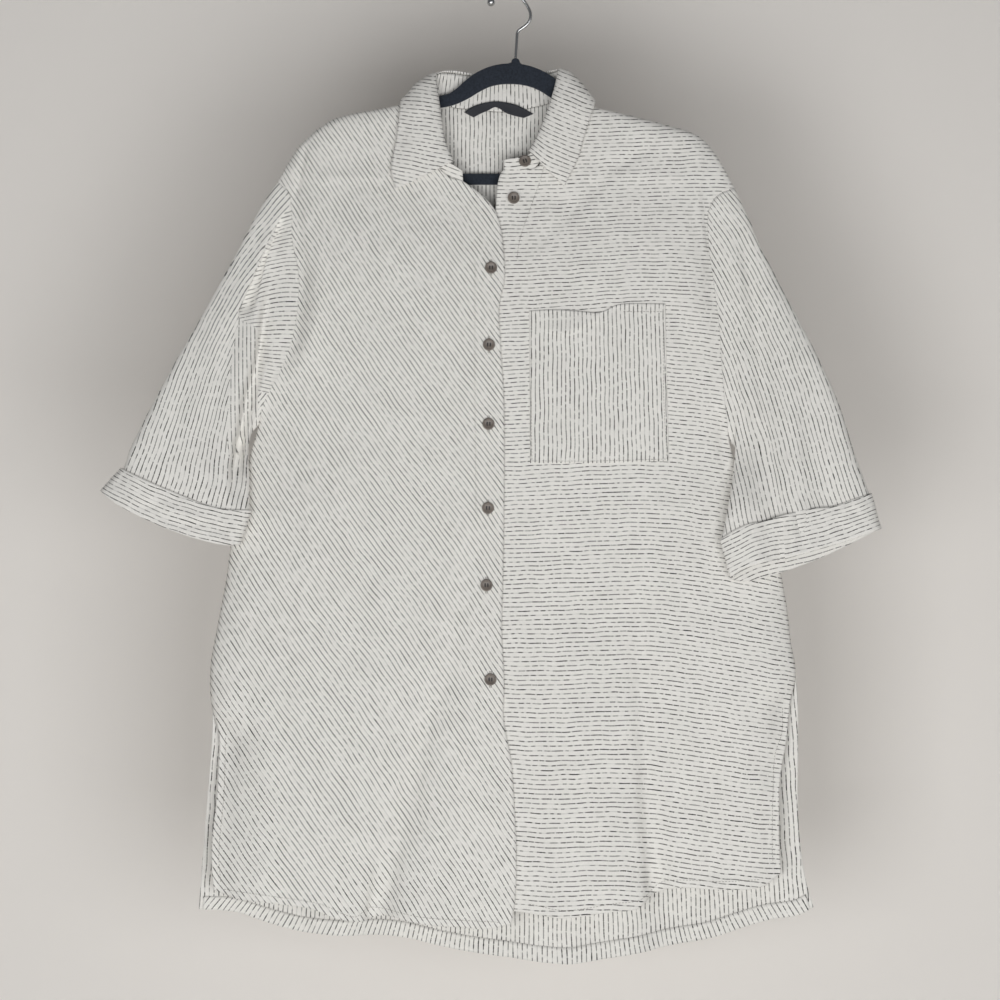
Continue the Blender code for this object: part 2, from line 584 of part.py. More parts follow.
def front_rows(side):
    """Outer points of a front, rows from the shoulder to the hem, middle to side."""
    side_rows = side_edge(side, -1)
    neck_count = len(NECK_PLACES)
    top_drop = side_rows[neck_count - 1][0][2]
    hem_drop = side_rows[-1][0][2]
    length = hem_drop - side_rows[0][0][2]
    start, corner = side["shoulder"](0.0), side["shoulder"](1.0)
    hem_start, hem_corner = side["front_hem"](0.0), side["front_hem"](1.0)
    rows = []
    for k, (edge, closed) in enumerate(side_rows):
        if k < neck_count:
            place = mix(side["neck_point"], side["neck_end"], NECK_PLACES[k])
            edge_point = below_stand(place)
            middle, middle_depth = edge_point[[0, 2]], edge_point[1]
        else:
            share = (edge[2] - top_drop) / (hem_drop - top_drop)
            middle = side["band_edge"](share)
            middle_depth = front_depth(side, middle[0], middle[1])
        fall = (edge[2] - side_rows[0][0][2]) / length
        side_point = np.array((edge[0], edge[2]))
        width = float(np.linalg.norm(side_point - middle))
        shoulder_share = RING[k][1] if k < RIDGE_ROWS else 1.0
        row = []
        for across in row_columns(width, closed, SHOULDER_COLUMNS):
            point = mix(middle, side_point, across)
            ridge = side["shoulder"](across) - mix(start, corner, across)
            hem = side["front_hem"](across) - mix(hem_start, hem_corner, across)
            point = point + ridge * (1.0 - fall) + hem * fall
            inset = (1.0 - across) * width
            flat = front_depth(side, point[0], point[1])
            flat = thinned(flat, point, side["side"](0.0))
            depth = body_depth(flat * shoulder_share, edge[1], closed, inset)
            if k < neck_count:
                depth = mix(middle_depth, depth, ease(across * width / NECK_BLEND))
            row.append(np.array((point[0], depth - SEAM_GAP / 2.0, point[1])))
        rows.append(row)
    return rows


def back_rows():
    """Outer points of the back, rows from the shoulders to the hem, right side to left."""
    right_rows, left_rows = side_edge(RIGHT, 1), side_edge(LEFT, 1)
    neck = [neck_at(place)[0] for place in BACK_NECK_PLACES]
    neck_ends = [neck_at(NECK_RIGHT_POINT)[0], neck_at(NECK_LEFT_POINT)[0]]
    right_top, left_top = right_rows[0][0][0], left_rows[0][0][0]
    top_width = left_top - right_top
    shares = [(end[0] - right_top) / top_width for end in neck_ends]
    hem_at = along(BACK_HEM)
    rows = []
    for k, ((right, closed_right), (left, closed_left)) in enumerate(zip(right_rows, left_rows)):
        right_point, left_point = np.array((right[0], right[2])), np.array((left[0], left[2]))
        width = float(np.linalg.norm(left_point - right_point))
        fall = (right[2] - right_rows[0][0][2]) / (right_rows[-1][0][2] - right_rows[0][0][2])
        shoulder_share = RING[k][1] if k < RIDGE_ROWS else 1.0
        places = back_columns(width, closed_right, closed_left, shares, neck, right_top, top_width)
        row = []
        for across, kind in places:
            top, top_depth = back_top(across, kind, shares)
            ridge = top - mix(
                np.array((right_rows[0][0][0], right_rows[0][0][2])),
                np.array((left_rows[0][0][0], left_rows[0][0][2])),
                across,
            )
            hem = hem_at(across) - mix(hem_at(0.0), hem_at(1.0), across)
            point = mix(right_point, left_point, across)
            point = point + ridge * (1.0 - fall) + hem * fall
            on_right = across < 0.5
            inset = (across if on_right else 1.0 - across) * width
            hold = (1.0 - ease(k / NECK_HOLD_ROWS)) * ease(inset / NECK_HOLD_INSET)
            point[0] = mix(point[0], top[0], hold)
            flat = back_depth(point[0], point[1])
            if kind == "neck" and k < RIDGE_ROWS:
                depth = mix(top_depth, flat, k / RIDGE_ROWS)
                point = point + np.array((0.0, NECK_ROW_DROPS[k]))
            else:
                edge = right if on_right else left
                closed = closed_right if on_right else closed_left
                flat = thinned(flat, point, (RIGHT if on_right else LEFT)["side"](0.0))
                depth = body_depth(flat * shoulder_share, edge[1], closed, inset)
            row.append(np.array((point[0], depth + SEAM_GAP / 2.0, point[1])))
        rows.append(row)
    return rows


def back_columns(width, closed_right, closed_left, shares, neck, right_top, top_width):
    """Places across a row of the back: share and kind."""
    places = [(mix(free, seam, closed_right) / width, "side")
              for seam, free in reversed(SIDE_INSETS)]
    first = places[-1][0]
    for i in range(1, SHOULDER_COLUMNS + 1):
        places.append((mix(first, shares[0], i / SHOULDER_COLUMNS), "shoulder"))
    for point in neck:
        places.append(((point[0] - right_top) / top_width, "neck"))
    last = 1.0 - mix(SIDE_INSETS[0][1], SIDE_INSETS[0][0], closed_left) / width
    for i in range(SHOULDER_COLUMNS):
        places.append((mix(shares[1], last, i / SHOULDER_COLUMNS), "shoulder"))
    places += [(1.0 - mix(free, seam, closed_left) / width, "side")
               for seam, free in SIDE_INSETS]
    return places


def back_top(across, kind, shares):
    """Top edge of the back at a share across, and its depth."""
    if across <= shares[0]:
        return RIGHT["shoulder"](1.0 - across / shares[0]), 0.0
    if across >= shares[1]:
        return LEFT["shoulder"]((across - shares[1]) / (1.0 - shares[1])), 0.0
    right_x = RIGHT["shoulder"](1.0)[0]
    wanted = mix(right_x, LEFT["shoulder"](1.0)[0], across)
    low, high = NECK_RIGHT_POINT, NECK_LEFT_POINT
    for _ in range(HALVINGS):
        half = (low + high) / 2.0
        if neck_at(half)[0][0] < wanted:
            low = half
        else:
            high = half
    edge_point = below_stand(low)
    return edge_point[[0, 2]], edge_point[1]


def turn_in(sideways):
    """In the seam's plane, square to an edge that runs this way in x and drop."""
    x, drop = unit(sideways)
    return np.array((-drop, 0.0, x)) if x > 0.0 else np.array((drop, 0.0, -x))


def ridge_rims(rows, columns):
    """Along a shoulder seam both cloths' inner edges lie straight below the ridge."""
    rims = {}
    for i in columns:
        before, after = rows[0][max(i - 1, columns[0])], rows[0][min(i + 1, columns[-1])]
        rims[(0, i)] = turn_in((after - before)[[0, 2]])
    return rims


def side_rims(side, face, column):
    """Inner edges down a panel's side, square to its armhole or in its seam's plane."""
    rims = {(k, column): armhole_inward(side, face, k) for k in range(len(RING))}
    underarm = len(RING) - 1
    inwards = np.array((-side["sign"], 0.0, 0.0))
    rims[(underarm, column)] = unit(rims[(underarm, column)] + inwards)
    for k in range(len(SIDE_PLACES)):
        rims[(underarm + 1 + k, column)] = inwards
    return rims


def under_stand_rims(rims, normals, places):
    """Turn the inner edges along the neck away from the stand."""
    for key, place in places:
        rise, _, _ = neck_frame(place)
        inward = -normals[key]
        lift = float(np.dot(inward, rise)) + STAND_CLEAR_SHARE
        if lift > 0.0:
            inward = unit(inward - rise * lift)
        rims[key] = inward


# ---------------------------------------------------------------- sleeves and cuffs
def patch(top, under, start, end, down, across):
    """A point inside four edges, each an array function of its own share."""
    rows = mix(start(across), end(across), down)
    sides = mix(top(down), under(down), across)
    corners = mix(mix(start(0.0), start(1.0), across), mix(end(0.0), end(1.0), across), down)
    return rows + sides - corners


def tuck_depth(down, across):
    """Depth of the right sleeve's tuck: a sharp step that runs out towards the body."""
    line, depth = table_at(RIGHT_SLEEVE_TUCK, down)
    off = across - line
    if off <= 0.0:
        return 0.0
    return depth * ease(off / TUCK_STEP) * (1.0 - ease((off - TUCK_STEP) / TUCK_RUN_OUT))


def sleeve_places(side):
    """Shares across a sleeve's front and back layers at a share down it."""
    if side is LEFT:
        return lambda down: [place for place, _ in RING]

    def at(down):
        line, _ = table_at(RIGHT_SLEEVE_TUCK, down)
        return [place for place, _ in RING] if down == 0.0 else tucked_places(line, down)

    return at


def tucked_places(line, down):
    """Ring places drawn towards the tuck, so that its step has points of its own."""
    foot = line + TUCK_STEP
    wanted = [0.0, 0.0, 0.006, 0.02, 0.05, line * 0.5, line - TUCK_LEAD, foot]
    wanted += [mix(foot, 1.0, share) for share in PAST_TUCK]
    pull = ease(down / RIGHT_SLEEVE_TUCK[1][0])
    places = []
    for (place, _), goal in zip(RING, wanted):
        places.append(mix(place, goal, pull))
    return places


def sleeve_depth(side, face, down, across, share, start_depth, drop):
    """Depth of a sleeve's layer: from the armhole's to the flat hanging sleeve's."""
    outer, inner, front_half, back_half = side["cuff_depths"]
    middle = mix(outer, inner, across)
    half = front_half if face < 0 else back_half
    end_depth = middle + face * half * share
    level = ease((drop - side["side"](0.0)[1] + UNDERARM_LEAD) / UNDERARM_TURN)
    blend_from, blend_over = SWING_ACROSS
    turn = mix(ease(down * SWING_PACE), level, ease((across - blend_from) / blend_over))
    depth = mix(start_depth, end_depth, turn)
    if face < 0 and side is RIGHT:
        depth += tuck_depth(down, across)
    if face < 0 and side is LEFT:
        for line, width, valley in LEFT_SLEEVE_VALLEYS:
            off = (across - line) / width
            depth += valley * math.exp(-off * off) * ease(down / VALLEY_START)
    return depth


def layer_row(side, face, down, cuff):
    """One layer of a sleeve's ring, from its top edge to its under edge."""
    row = []
    end = side["cuff_end_front"] if face < 0 else side["cuff_end_back"]
    places = sleeve_places(side)(1.0 if cuff else down)
    for (ring_place, share), place in zip(RING, places):
        start = armhole_point(side, face, ring_place, share, 1)
        if cuff:
            start_at, end_at = side["cuff_top"], end
            point = mix(start_at(place), end_at(place), down)
            depth = sleeve_depth(side, face, 1.0, place, share, start[1], point[1])
        elif down == 0.0:
            row.append(start)
            continue
        else:
            def armhole_xz(at_share):
                at = armhole_point(side, face, at_share, 1.0, 1)
                return np.array((at[0], at[2]))
            point = patch(side["sleeve_top"], side["sleeve_under"], armhole_xz,
                          side["cuff_top"], down, place)
            _, outward = armhole_frame(side, place)
            point = point + outward * SLEEVE_CLEAR * (1.0 - down) ** 3 * ease(place * 2.5)
            seam = armhole_point(side, face, place, share, 1)
            depth = sleeve_depth(side, face, down, place, share, seam[1], point[1])
        row.append(np.array((point[0], depth, point[1])))
    return row


def sleeve_ring(side, down, cuff=False):
    """One closed ring round the arm: down the front, back up behind."""
    front = layer_row(side, -1, down, cuff)
    back = layer_row(side, 1, down, cuff)
    return front + back[-2:0:-1]


def sleeve_rings(side):
    rings = [sleeve_ring(side, down) for down in SLEEVE_ROWS]
    rings += [sleeve_ring(side, down, True) for down in CUFF_ROWS]
    return rings


# ---------------------------------------------------------------- collar
def neck_stations():
    """Places round the neck that the stand shares with the panels' edges."""
    shares = sorted(set(NECK_PLACES))
    right = [mix(NECK_RIGHT_POINT, 0.0, share) for share in reversed(shares)]
    left = [mix(NECK_LEFT_POINT, NECK_LAST, share) for share in shares]
    return right + list(BACK_NECK_PLACES) + left


def stand_rows():
    rows = []
    for place in neck_stations():
        seam, roll_line, _ = neck_at(place)
        rows.append([mix(seam, roll_line, share) for share in STAND_SHARES])
    return rows


def leaf_rows():
    """The leaf turns over the stand's top edge and falls to its own edge."""
    rows = []
    for place in neck_stations()[1:-1]:
        _, roll_line, edge = neck_at(place)
        _, outward, lift = neck_frame(place)
        first = roll_line + lift * (COLLAR_WALL + LEAF_GAP) - outward * COLLAR_WALL
        over = first + outward * LEAF_OVER[0] + lift * LEAF_OVER[1]
        fall = mix(roll_line, edge, LEAF_FALL[0]) + outward * LEAF_FALL[1]
        rows.append([bezier(first, over, fall, edge, share) for share in LEAF_SHARES])
    return rows


# ---------------------------------------------------------------- Blender objects
def world(point):
    x, depth, drop = point
    return (x * 0.001, depth * 0.001, -drop * 0.001)


def material_for(name, finish):
    colour, roughness, metallic = COLOURS[finish]
    material = bpy.data.materials.new(name)
    material.use_nodes = True
    shader = material.node_tree.nodes["Principled BSDF"]
    shader.inputs["Base Color"].default_value = colour
    shader.inputs["Roughness"].default_value = roughness
    shader.inputs["Metallic"].default_value = metallic
    material.diffuse_color = colour
    return material


def add_object(name, mesh, finish, collection):
    item = bpy.data.objects.new(name, mesh)
    item.data.materials.append(material_for(name, finish))
    collection.objects.link(item)
    return item


def grid_normals(rows, outward, closed=False):
    """Unit normals of a grid of points, and how far to stretch an offset at creases."""
    grid = np.array(rows)
    sums = np.zeros_like(grid)
    counts = np.zeros(grid.shape[:2])
    high, wide = counts.shape
    for k in range(high - 1):
        for i in range(wide if closed else wide - 1):
            j = (i + 1) % wide
            normal = np.cross(grid[k + 1, j] - grid[k, i], grid[k + 1, i] - grid[k, j])
            size = np.linalg.norm(normal)
            if size < 1e-9:
                continue
            for key in ((k, i), (k, j), (k + 1, j), (k + 1, i)):
                sums[key] += normal / size
                counts[key] += 1.0
    lengths = np.linalg.norm(sums, axis=2)
    stretch = np.minimum(EVEN_LIMIT, counts / lengths)
    normals = sums / lengths[:, :, None]
    facing = sum(np.dot(normals[key], outward(grid[key])) for key in np.ndindex(high, wide))
    return normals * (1.0 if facing > 0.0 else -1.0), stretch


def inner_side(rows, normals, stretch, wall, rims):
    """The grid's other face, a wall's thickness in; rims give directions of their own."""
    inner = np.array(rows) - normals * (stretch * wall)[:, :, None]
    for key, inward in rims.items():
        inner[key] = np.array(rows[key[0]][key[1]]) + inward * wall
    return inner


def solid(name, outer, inner, finish, collection, closed=False):
    """A closed wall between two like grids of points."""
    shape = bmesh.new()
    faces = []
    for rows in (outer, inner):
        faces.append([[shape.verts.new(world(point)) for point in row] for row in rows])
    high, wide = len(outer), len(outer[0])
    columns = range(wide if closed else wide - 1)
    for grid in faces:
        for k in range(high - 1):
            for i in columns:
                j = (i + 1) % wide
                shape.faces.new((grid[k][i], grid[k][j], grid[k + 1][j], grid[k + 1][i]))
    top, low = faces
    for k in (0, high - 1):
        for i in columns:
            j = (i + 1) % wide
            shape.faces.new((top[k][i], top[k][j], low[k][j], low[k][i]))
    for i in () if closed else (0, wide - 1):
        for k in range(high - 1):
            shape.faces.new((top[k][i], top[k + 1][i], low[k + 1][i], low[k][i]))
    bmesh.ops.recalc_face_normals(shape, faces=shape.faces)
    mesh = bpy.data.meshes.new(name)
    shape.to_mesh(mesh)
    shape.free()
    return add_object(name, mesh, finish, collection)


def sheet(name, rows, wall, outward, finish, collection, closed=False, rims=None):
    """A wall of cloth on a grid of outer points; outward(point) says which way is out."""
    normals, stretch = grid_normals(rows, outward, closed)
    inner = inner_side(rows, normals, stretch, wall, rims or {})
    return solid(name, rows, inner, finish, collection, closed)


def towards(x, depth, drop):
    return lambda point: np.array((x, depth, drop))


def out_of_ring(rings):
    """Outward from the middle line of a tube of rings."""
    centres = [sum(ring) / len(ring) for ring in rings]

    def direction(point):
        nearest = min(centres, key=lambda middle: float(np.linalg.norm(middle - point)))
        return point - nearest

    return direction


def out_of_neck(point):
    return np.array((point[0] - NECK_MIDDLE, point[1], 0.0))


def build_body(collection):
    fronts = {"front_right": RIGHT, "front_left": LEFT}
    for name, side in fronts.items():
        rows = front_rows(side)
        normals, _ = grid_normals(rows, towards(0, -1, 0))
        last = len(rows[0]) - 1
        rims = ridge_rims(rows, range(last + 1))
        neck = [((k, 0), mix(side["neck_point"], side["neck_end"], share))
                for k, share in enumerate(NECK_PLACES) if k > 0]
        under_stand_rims(rims, normals, neck)
        rims.update(side_rims(side, -1, last))
        sheet(name, rows, WALL, towards(0, -1, 0), "cloth", collection, rims=rims)
    back = back_rows()
    normals, _ = grid_normals(back, towards(0, 1, 0))
    last = len(back[0]) - 1
    first_neck = len(SIDE_INSETS) + SHOULDER_COLUMNS
    after_neck = first_neck + len(BACK_NECK_PLACES)
    rims = ridge_rims(back, range(first_neck))
    rims.update(ridge_rims(back, range(after_neck, last + 1)))
    neck = [((0, first_neck + i), place) for i, place in enumerate(BACK_NECK_PLACES)]
    under_stand_rims(rims, normals, neck)
    rims.update(side_rims(RIGHT, 1, 0))
    rims.update(side_rims(LEFT, 1, last))
    sheet("back_panel", back, WALL, towards(0, 1, 0), "cloth", collection, rims=rims)
    moved_in = WALL + LAY_GAP
    facing = [[point - np.array((0.0, moved_in, 0.0)) for point in row[1:-1]] for row in back[-2:]]
    sheet("back_hem_facing", facing, FACING_WALL, towards(0, 1, 0), "cloth", collection)


def build_sleeves(collection):
    for name, side in (("right", RIGHT), ("left", LEFT)):
        rings = sleeve_rings(side)
        outward = out_of_ring(rings)
        seam = [armhole_inward(side, -1, k) for k in range(len(RING))]
        seam += [armhole_inward(side, 1, k) for k in range(len(RING) - 2, 0, -1)]
        rims = {(0, i): inward for i, inward in enumerate(seam)}
        sheet("sleeve_" + name, rings, WALL, outward, "cloth", collection, True, rims)
        normals, stretch = grid_normals(rings, outward, True)
        first = len(SLEEVE_ROWS) - 1
        away = (normals * stretch[:, :, None])[first:]
        lining = np.array(rings[first:]) + away * LAY_GAP
        cuff = lining + away * CUFF_WALL
        solid("cuff_" + name, cuff, lining, "cloth", collection, True)


def build_collar(collection):
    rows = stand_rows()
    rims = {}
    for k, place in enumerate(neck_stations()):
        _, outward, _ = neck_frame(place)
        for i in range(len(STAND_SHARES)):
            rims[(k, i)] = -outward
    sheet("collar_stand", rows, COLLAR_WALL, out_of_neck, "cloth", collection, rims=rims)
    rims = {}
    for k, place in enumerate(neck_stations()[1:-1]):
        _, _, lift = neck_frame(place)
        rims[(k, 0)] = -lift
    sheet("collar_leaf", leaf_rows(), COLLAR_WALL, out_of_neck, "cloth", collection, rims=rims)


def between(top_edge, foot_edge, columns, row_count, depth):
    """Rows of points between two edges, at one depth."""
    top, foot = along(top_edge), along(foot_edge)
    rows = []
    for k in range(row_count + 1):
        row = []
        for i in range(columns + 1):
            x, drop = mix(top(i / columns), foot(i / columns), k / row_count)
            row.append(np.array((x, depth, drop)))
        rows.append(row)
    return rows


def build_trims(collection):
    panel = front_rows(LEFT)
    pocket = between(POCKET_TOP, POCKET_FOOT, 12, 7, 0.0)
    for row in pocket:
        for point in row:
            point[1] = surface_depth(panel, point[0], point[2]) - POCKET_GAP - WALL
    sheet("chest_pocket", pocket, WALL, towards(0, -1, 0), "cloth", collection)
    stand_depth = neck_at(LABEL_SEAT_PLACE)[0][1]
    label_depth = stand_depth - COLLAR_WALL - LAY_GAP - LABEL_WALL
    label = between(LABEL_TOP, LABEL_FOOT, 8, 1, label_depth)
    sheet("neck_label", label, LABEL_WALL, towards(0, -1, 0), "label", collection)


def button_mesh():
    """A round button: rim, shallow dish in front, flat behind. Its front faces -Y."""
    half = BUTTON_WIDTH * 0.0005
    height = BUTTON_HEIGHT * 0.001
    shape = bmesh.new()
    rings = []
    for radius_share, rise_share in BUTTON_PROFILE:
        radius, rise = half * radius_share, height * rise_share
        if radius == 0.0:
            rings.append([shape.verts.new((0.0, -rise, 0.0))])
            continue
        ring = []
        for i in range(BUTTON_SIDES):
            angle = 2.0 * math.pi * i / BUTTON_SIDES
            ring.append(shape.verts.new((radius * math.cos(angle), -rise, radius * math.sin(angle))))
        rings.append(ring)
    for lower, upper in zip(rings, rings[1:]):
        for i in range(BUTTON_SIDES):
            j = (i + 1) % BUTTON_SIDES
            if len(lower) == 1:
                shape.faces.new((lower[0], upper[i], upper[j]))
            elif len(upper) == 1:
                shape.faces.new((lower[i], upper[0], lower[j]))
            else:
                shape.faces.new((lower[i], upper[i], upper[j], lower[j]))
    bmesh.ops.recalc_face_normals(shape, faces=shape.faces)
    mesh = bpy.data.meshes.new("button")
    shape.to_mesh(mesh)
    shape.free()
    mesh.shade_smooth()
    return mesh


def surface_depth(rows, x, drop):
    """Depth of a panel's faceted outer surface at a place seen from the front."""
    for upper, lower in zip(rows, rows[1:]):
        for i in range(len(upper) - 1):
            for corners in ((upper[i], upper[i + 1], lower[i + 1]),
                            (upper[i], lower[i + 1], lower[i])):
                (ax, _, az), (bx, _, bz), (cx, _, cz) = corners
                area = (bx - ax) * (cz - az) - (cx - ax) * (bz - az)
                if abs(area) < 1e-6:
                    continue
                second = ((x - ax) * (cz - az) - (cx - ax) * (drop - az)) / area
                third = ((bx - ax) * (drop - az) - (x - ax) * (bz - az)) / area
                if min(second, third, 1.0 - second - third) >= -1e-6:
                    depths = [corner[1] for corner in corners]
                    return depths[0] * (1.0 - second - third) + depths[1] * second + depths[2] * third
    raise ValueError("no surface at x %.1f drop %.1f" % (x, drop))


def build_buttons(collection):
    carriers = {"stand": stand_rows(), "left": front_rows(LEFT), "right": front_rows(RIGHT)}
    reach = BUTTON_WIDTH * 0.25
    for number, (x, drop, carrier) in enumerate(BUTTONS, start=1):
        rows = carriers[carrier]
        above = surface_depth(rows, x, drop - reach)
        below = surface_depth(rows, x, drop + reach)
        left = surface_depth(rows, x - reach, drop)
        right = surface_depth(rows, x + reach, drop)
        middle = min(surface_depth(rows, x, drop), (above + below) / 2.0, (left + right) / 2.0)
        item = add_object("button_%d" % number, button_mesh(), "button", collection)
        item.location = world((x, middle - BUTTON_SEAT, drop))
        tilt = math.atan((below - above) / (2.0 * reach))
        turn = math.atan((right - left) / (2.0 * reach))
        item.rotation_euler = (tilt, 0.0, turn)


def outline_curve(name, loops, thickness, finish, collection):
    """A flat outline with holes, given a thickness about the XZ plane."""
    curve = bpy.data.curves.new(name, "CURVE")
    curve.dimensions = "2D"
    curve.fill_mode = "BOTH"
    curve.extrude = thickness * 0.0005
    for loop in loops:
        spline = curve.splines.new("POLY")
        spline.points.add(len(loop) - 1)
        for point, (x, drop) in zip(spline.points, loop):
            point.co = (x * 0.001, -drop * 0.001, 0.0, 1.0)
        spline.use_cyclic_u = True
    item = add_object(name, curve, finish, collection)
    item.rotation_euler = (math.pi / 2.0, 0.0, 0.0)
    return item


def arm_edge(column):
    """A smooth edge of the arms, from the right tip to the left."""
    edge = along([(row[0], row[column]) for row in HANGER_ARMS])
    return [edge(step / ARM_STEPS) for step in range(ARM_STEPS + 1)]


def hanger_loops():
    """Outer outline of the hanger, and the gap between its arms and its bar."""
    nub_x, nub_drop, nub_radius = NUB
    boss = []
    for step in range(NUB_STEPS + 1):
        angle = math.pi * (1.0 - step / NUB_STEPS)
        boss.append((nub_x + nub_radius * math.cos(angle), nub_drop - nub_radius * math.sin(angle)))
    top = arm_edge(1)
    outer = [point for point in top if point[0] < nub_x - nub_radius] + boss
    outer += [point for point in top if point[0] > nub_x + nub_radius]
    outer += list(LEFT_TIP) + list(reversed(RIGHT_TIP))
    inner = arm_edge(2) + list(LEFT_GAP_END) + list(reversed(RIGHT_GAP_END))
    return outer, inner


def hook_sections():
    """Places along the hook and how thick it is there, in wire radii."""
    line = along(HOOK_LINE)
    start = line(0.0)
    ahead = unit(line(1.0 / HOOK_STEPS) - start)
    sections = []
    for place, radius in BALL_RINGS:
        middle = start + ahead * place * HOOK_BALL_RADIUS
        sections.append((middle, radius * HOOK_BALL_RADIUS / HOOK_RADIUS))
    for step in range(1, HOOK_STEPS + 1):
        middle = line(step / HOOK_STEPS)
        if np.linalg.norm(middle - start) > HOOK_BALL_RADIUS:
            sections.append((middle, 1.0))
    return sections


def build_hanger(collection):
    outline_curve("hanger_body", hanger_loops(), HANGER_THICKNESS, "flock", collection)
    curve = bpy.data.curves.new("hanger_hook", "CURVE")
    curve.dimensions = "3D"
    curve.bevel_depth = HOOK_RADIUS * 0.001
    curve.bevel_resolution = 2
    curve.use_fill_caps = True
    sections = hook_sections()
    spline = curve.splines.new("POLY")
    spline.points.add(len(sections) - 1)
    for point, ((x, drop), radius) in zip(spline.points, sections):
        point.co = (x * 0.001, 0.0, -drop * 0.001, 1.0)
        point.radius = radius
    spline.use_smooth = True
    add_object("hanger_hook", curve, "chrome", collection)


def main():
    for item in list(bpy.data.objects):
        bpy.data.objects.remove(item)
    collection = bpy.data.collections.new("tunic_top")
    bpy.context.scene.collection.children.link(collection)
    build_body(collection)
    build_sleeves(collection)
    build_collar(collection)
    build_trims(collection)
    build_buttons(collection)
    build_hanger(collection)


main()
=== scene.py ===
"""Looks of a striped shirt tunic that hangs on a slim flocked hanger."""

import math
from bisect import bisect_right

import bmesh
import bpy
import numpy as np
from mathutils import Euler, Matrix, Vector

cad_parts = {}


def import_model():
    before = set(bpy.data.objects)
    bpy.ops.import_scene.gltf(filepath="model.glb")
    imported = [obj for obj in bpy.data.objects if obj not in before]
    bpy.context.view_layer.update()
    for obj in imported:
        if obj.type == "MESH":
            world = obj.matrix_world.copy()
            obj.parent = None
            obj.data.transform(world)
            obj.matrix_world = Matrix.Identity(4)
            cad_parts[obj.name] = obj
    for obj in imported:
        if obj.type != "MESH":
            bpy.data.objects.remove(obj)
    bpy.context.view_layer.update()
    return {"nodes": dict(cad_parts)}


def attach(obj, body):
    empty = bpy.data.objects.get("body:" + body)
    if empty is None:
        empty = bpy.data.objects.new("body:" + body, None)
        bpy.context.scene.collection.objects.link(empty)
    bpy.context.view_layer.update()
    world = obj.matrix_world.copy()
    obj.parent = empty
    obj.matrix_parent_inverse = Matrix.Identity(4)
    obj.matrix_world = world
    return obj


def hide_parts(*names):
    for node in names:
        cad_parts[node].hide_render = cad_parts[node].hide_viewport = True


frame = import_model()
# Tables are in millimetres: x across, depth along Y (negative towards the front) and drop,
# the distance below the inside of the hook's top.

# ---------------------------------------------------------------- driving dimensions, mm
WALL = 1.4              # body and sleeve cloth
COLLAR_WALL = 1.8       # collar and stand, two layers with interlining
CUFF_WALL = 2.0         # turned-up cuff, two layers
LABEL_WALL = 0.8
SEAM_GAP = 0.3          # between sewn pieces
ARMHOLE_GAP = 0.1
UNDERARM_GAP = 0.2      # the same seam where it turns sharply under the arm
LEAF_GAP = 1.7          # between the stand's top edge and the leaf above it
LAY_GAP = 0.4           # between a piece and the panel that it lies on
LAP_SET_BACK = 2.8      # left front lies this far behind the right front
SET_BACK_DROP = 140.0   # the left front starts to go back here, over the reach below
SET_BACK_REACH = 80.0
BAND_MIDDLE = -16.0     # x of the middle of the button band, which stays free of folds
BAND_FLAT_HALF = 30.0
BAND_BLEND = 40.0

SEAM_DEPTH = -2.0       # plane of the side seams
SLIT_PARTING = 2.4      # front and back edges part this far each way at a slit's top
SLIT_DEPTHS = {-1: -13.0, 1: 11.0}  # depth of the front's and the back's edge down a slit
SLIT_SETTLE = 0.8       # share of the slit's length over which its edges reach those depths
SIDE_ROLL = 60.0        # width over which a side rolls round to its seam
UNDERARM_SHARE = 0.5    # depth of the body at the underarm, as a share of its full depth
UNDERARM_REACH = 130.0
OPEN_BLEND = 45.0       # width over which a panel meets its armhole or slit edge
NECK_BLEND = 50.0
NECK_HOLD_ROWS = 9.0    # rows over which the back's columns stay straight below the neck
NECK_HOLD_INSET = 120.0
NECK_ROW_DROPS = (0.0, 1.7, 3.3, 4.5, 3.5)  # extra drop of the back's first rows below the neck
SHOULDER_COLUMNS = 11   # from the neck to the roll at the side, the same in front and behind

BUTTON_WIDTH = 12.0
BUTTON_HEIGHT = 2.4
BUTTON_SEAT = 0.5       # thread shank between a button's back and the cloth

HANGER_THICKNESS = 4.8
HOOK_RADIUS = 1.7
HOOK_BALL_RADIUS = 4.4  # ball at the hook's free end

# Depth of the outer surface at each drop: the right front and the back.
# drop, front, back
BODY_DEPTHS = (
    (88.0, -6.5, 6.5),
    (150.0, -8.5, 7.0),
    (290.0, -20.0, 10.0),
    (530.0, -20.0, 11.0),
    (720.0, -23.0, 12.0),
    (980.0, -27.0, 14.0),
)

# Round an armhole from the shoulder to the underarm: share of the way, share of full depth.
RING = (
    (0.0, 0.0), (0.0, 0.2), (0.006, 0.45), (0.02, 0.72), (0.05, 0.92), (0.12, 1.0),
    (0.25, 1.0), (0.40, 1.0), (0.55, 1.0), (0.69, 1.0), (0.82, 0.93), (0.92, 0.65), (1.0, 0.0),
)
RIDGE_ROWS = 5          # rows over which the shoulder's ridge opens to full depth
# Rows down the neck edge of a front: share of the way from the neck point to its end.
NECK_PLACES = (0.0, 0.02, 0.055, 0.12, 0.28, 0.48, 0.67, 5.0 / 6.0, 1.0)
SIDE_PLACES = (0.10, 0.24, 0.40, 0.55, 0.70, 0.85, 1.0)
SLIT_PLACES = (0.12, 0.32, 0.52, 0.72, 0.92, 1.0)
EVEN_LIMIT = 1.15       # greatest stretch of a wall's offset at a crease
# Columns beside a side edge: inset on a closed seam, inset on an open edge.
SIDE_INSETS = ((24.0, 24.0), (12.0, 15.0), (5.5, 8.5), (2.0, 3.6), (0.0, 0.0))

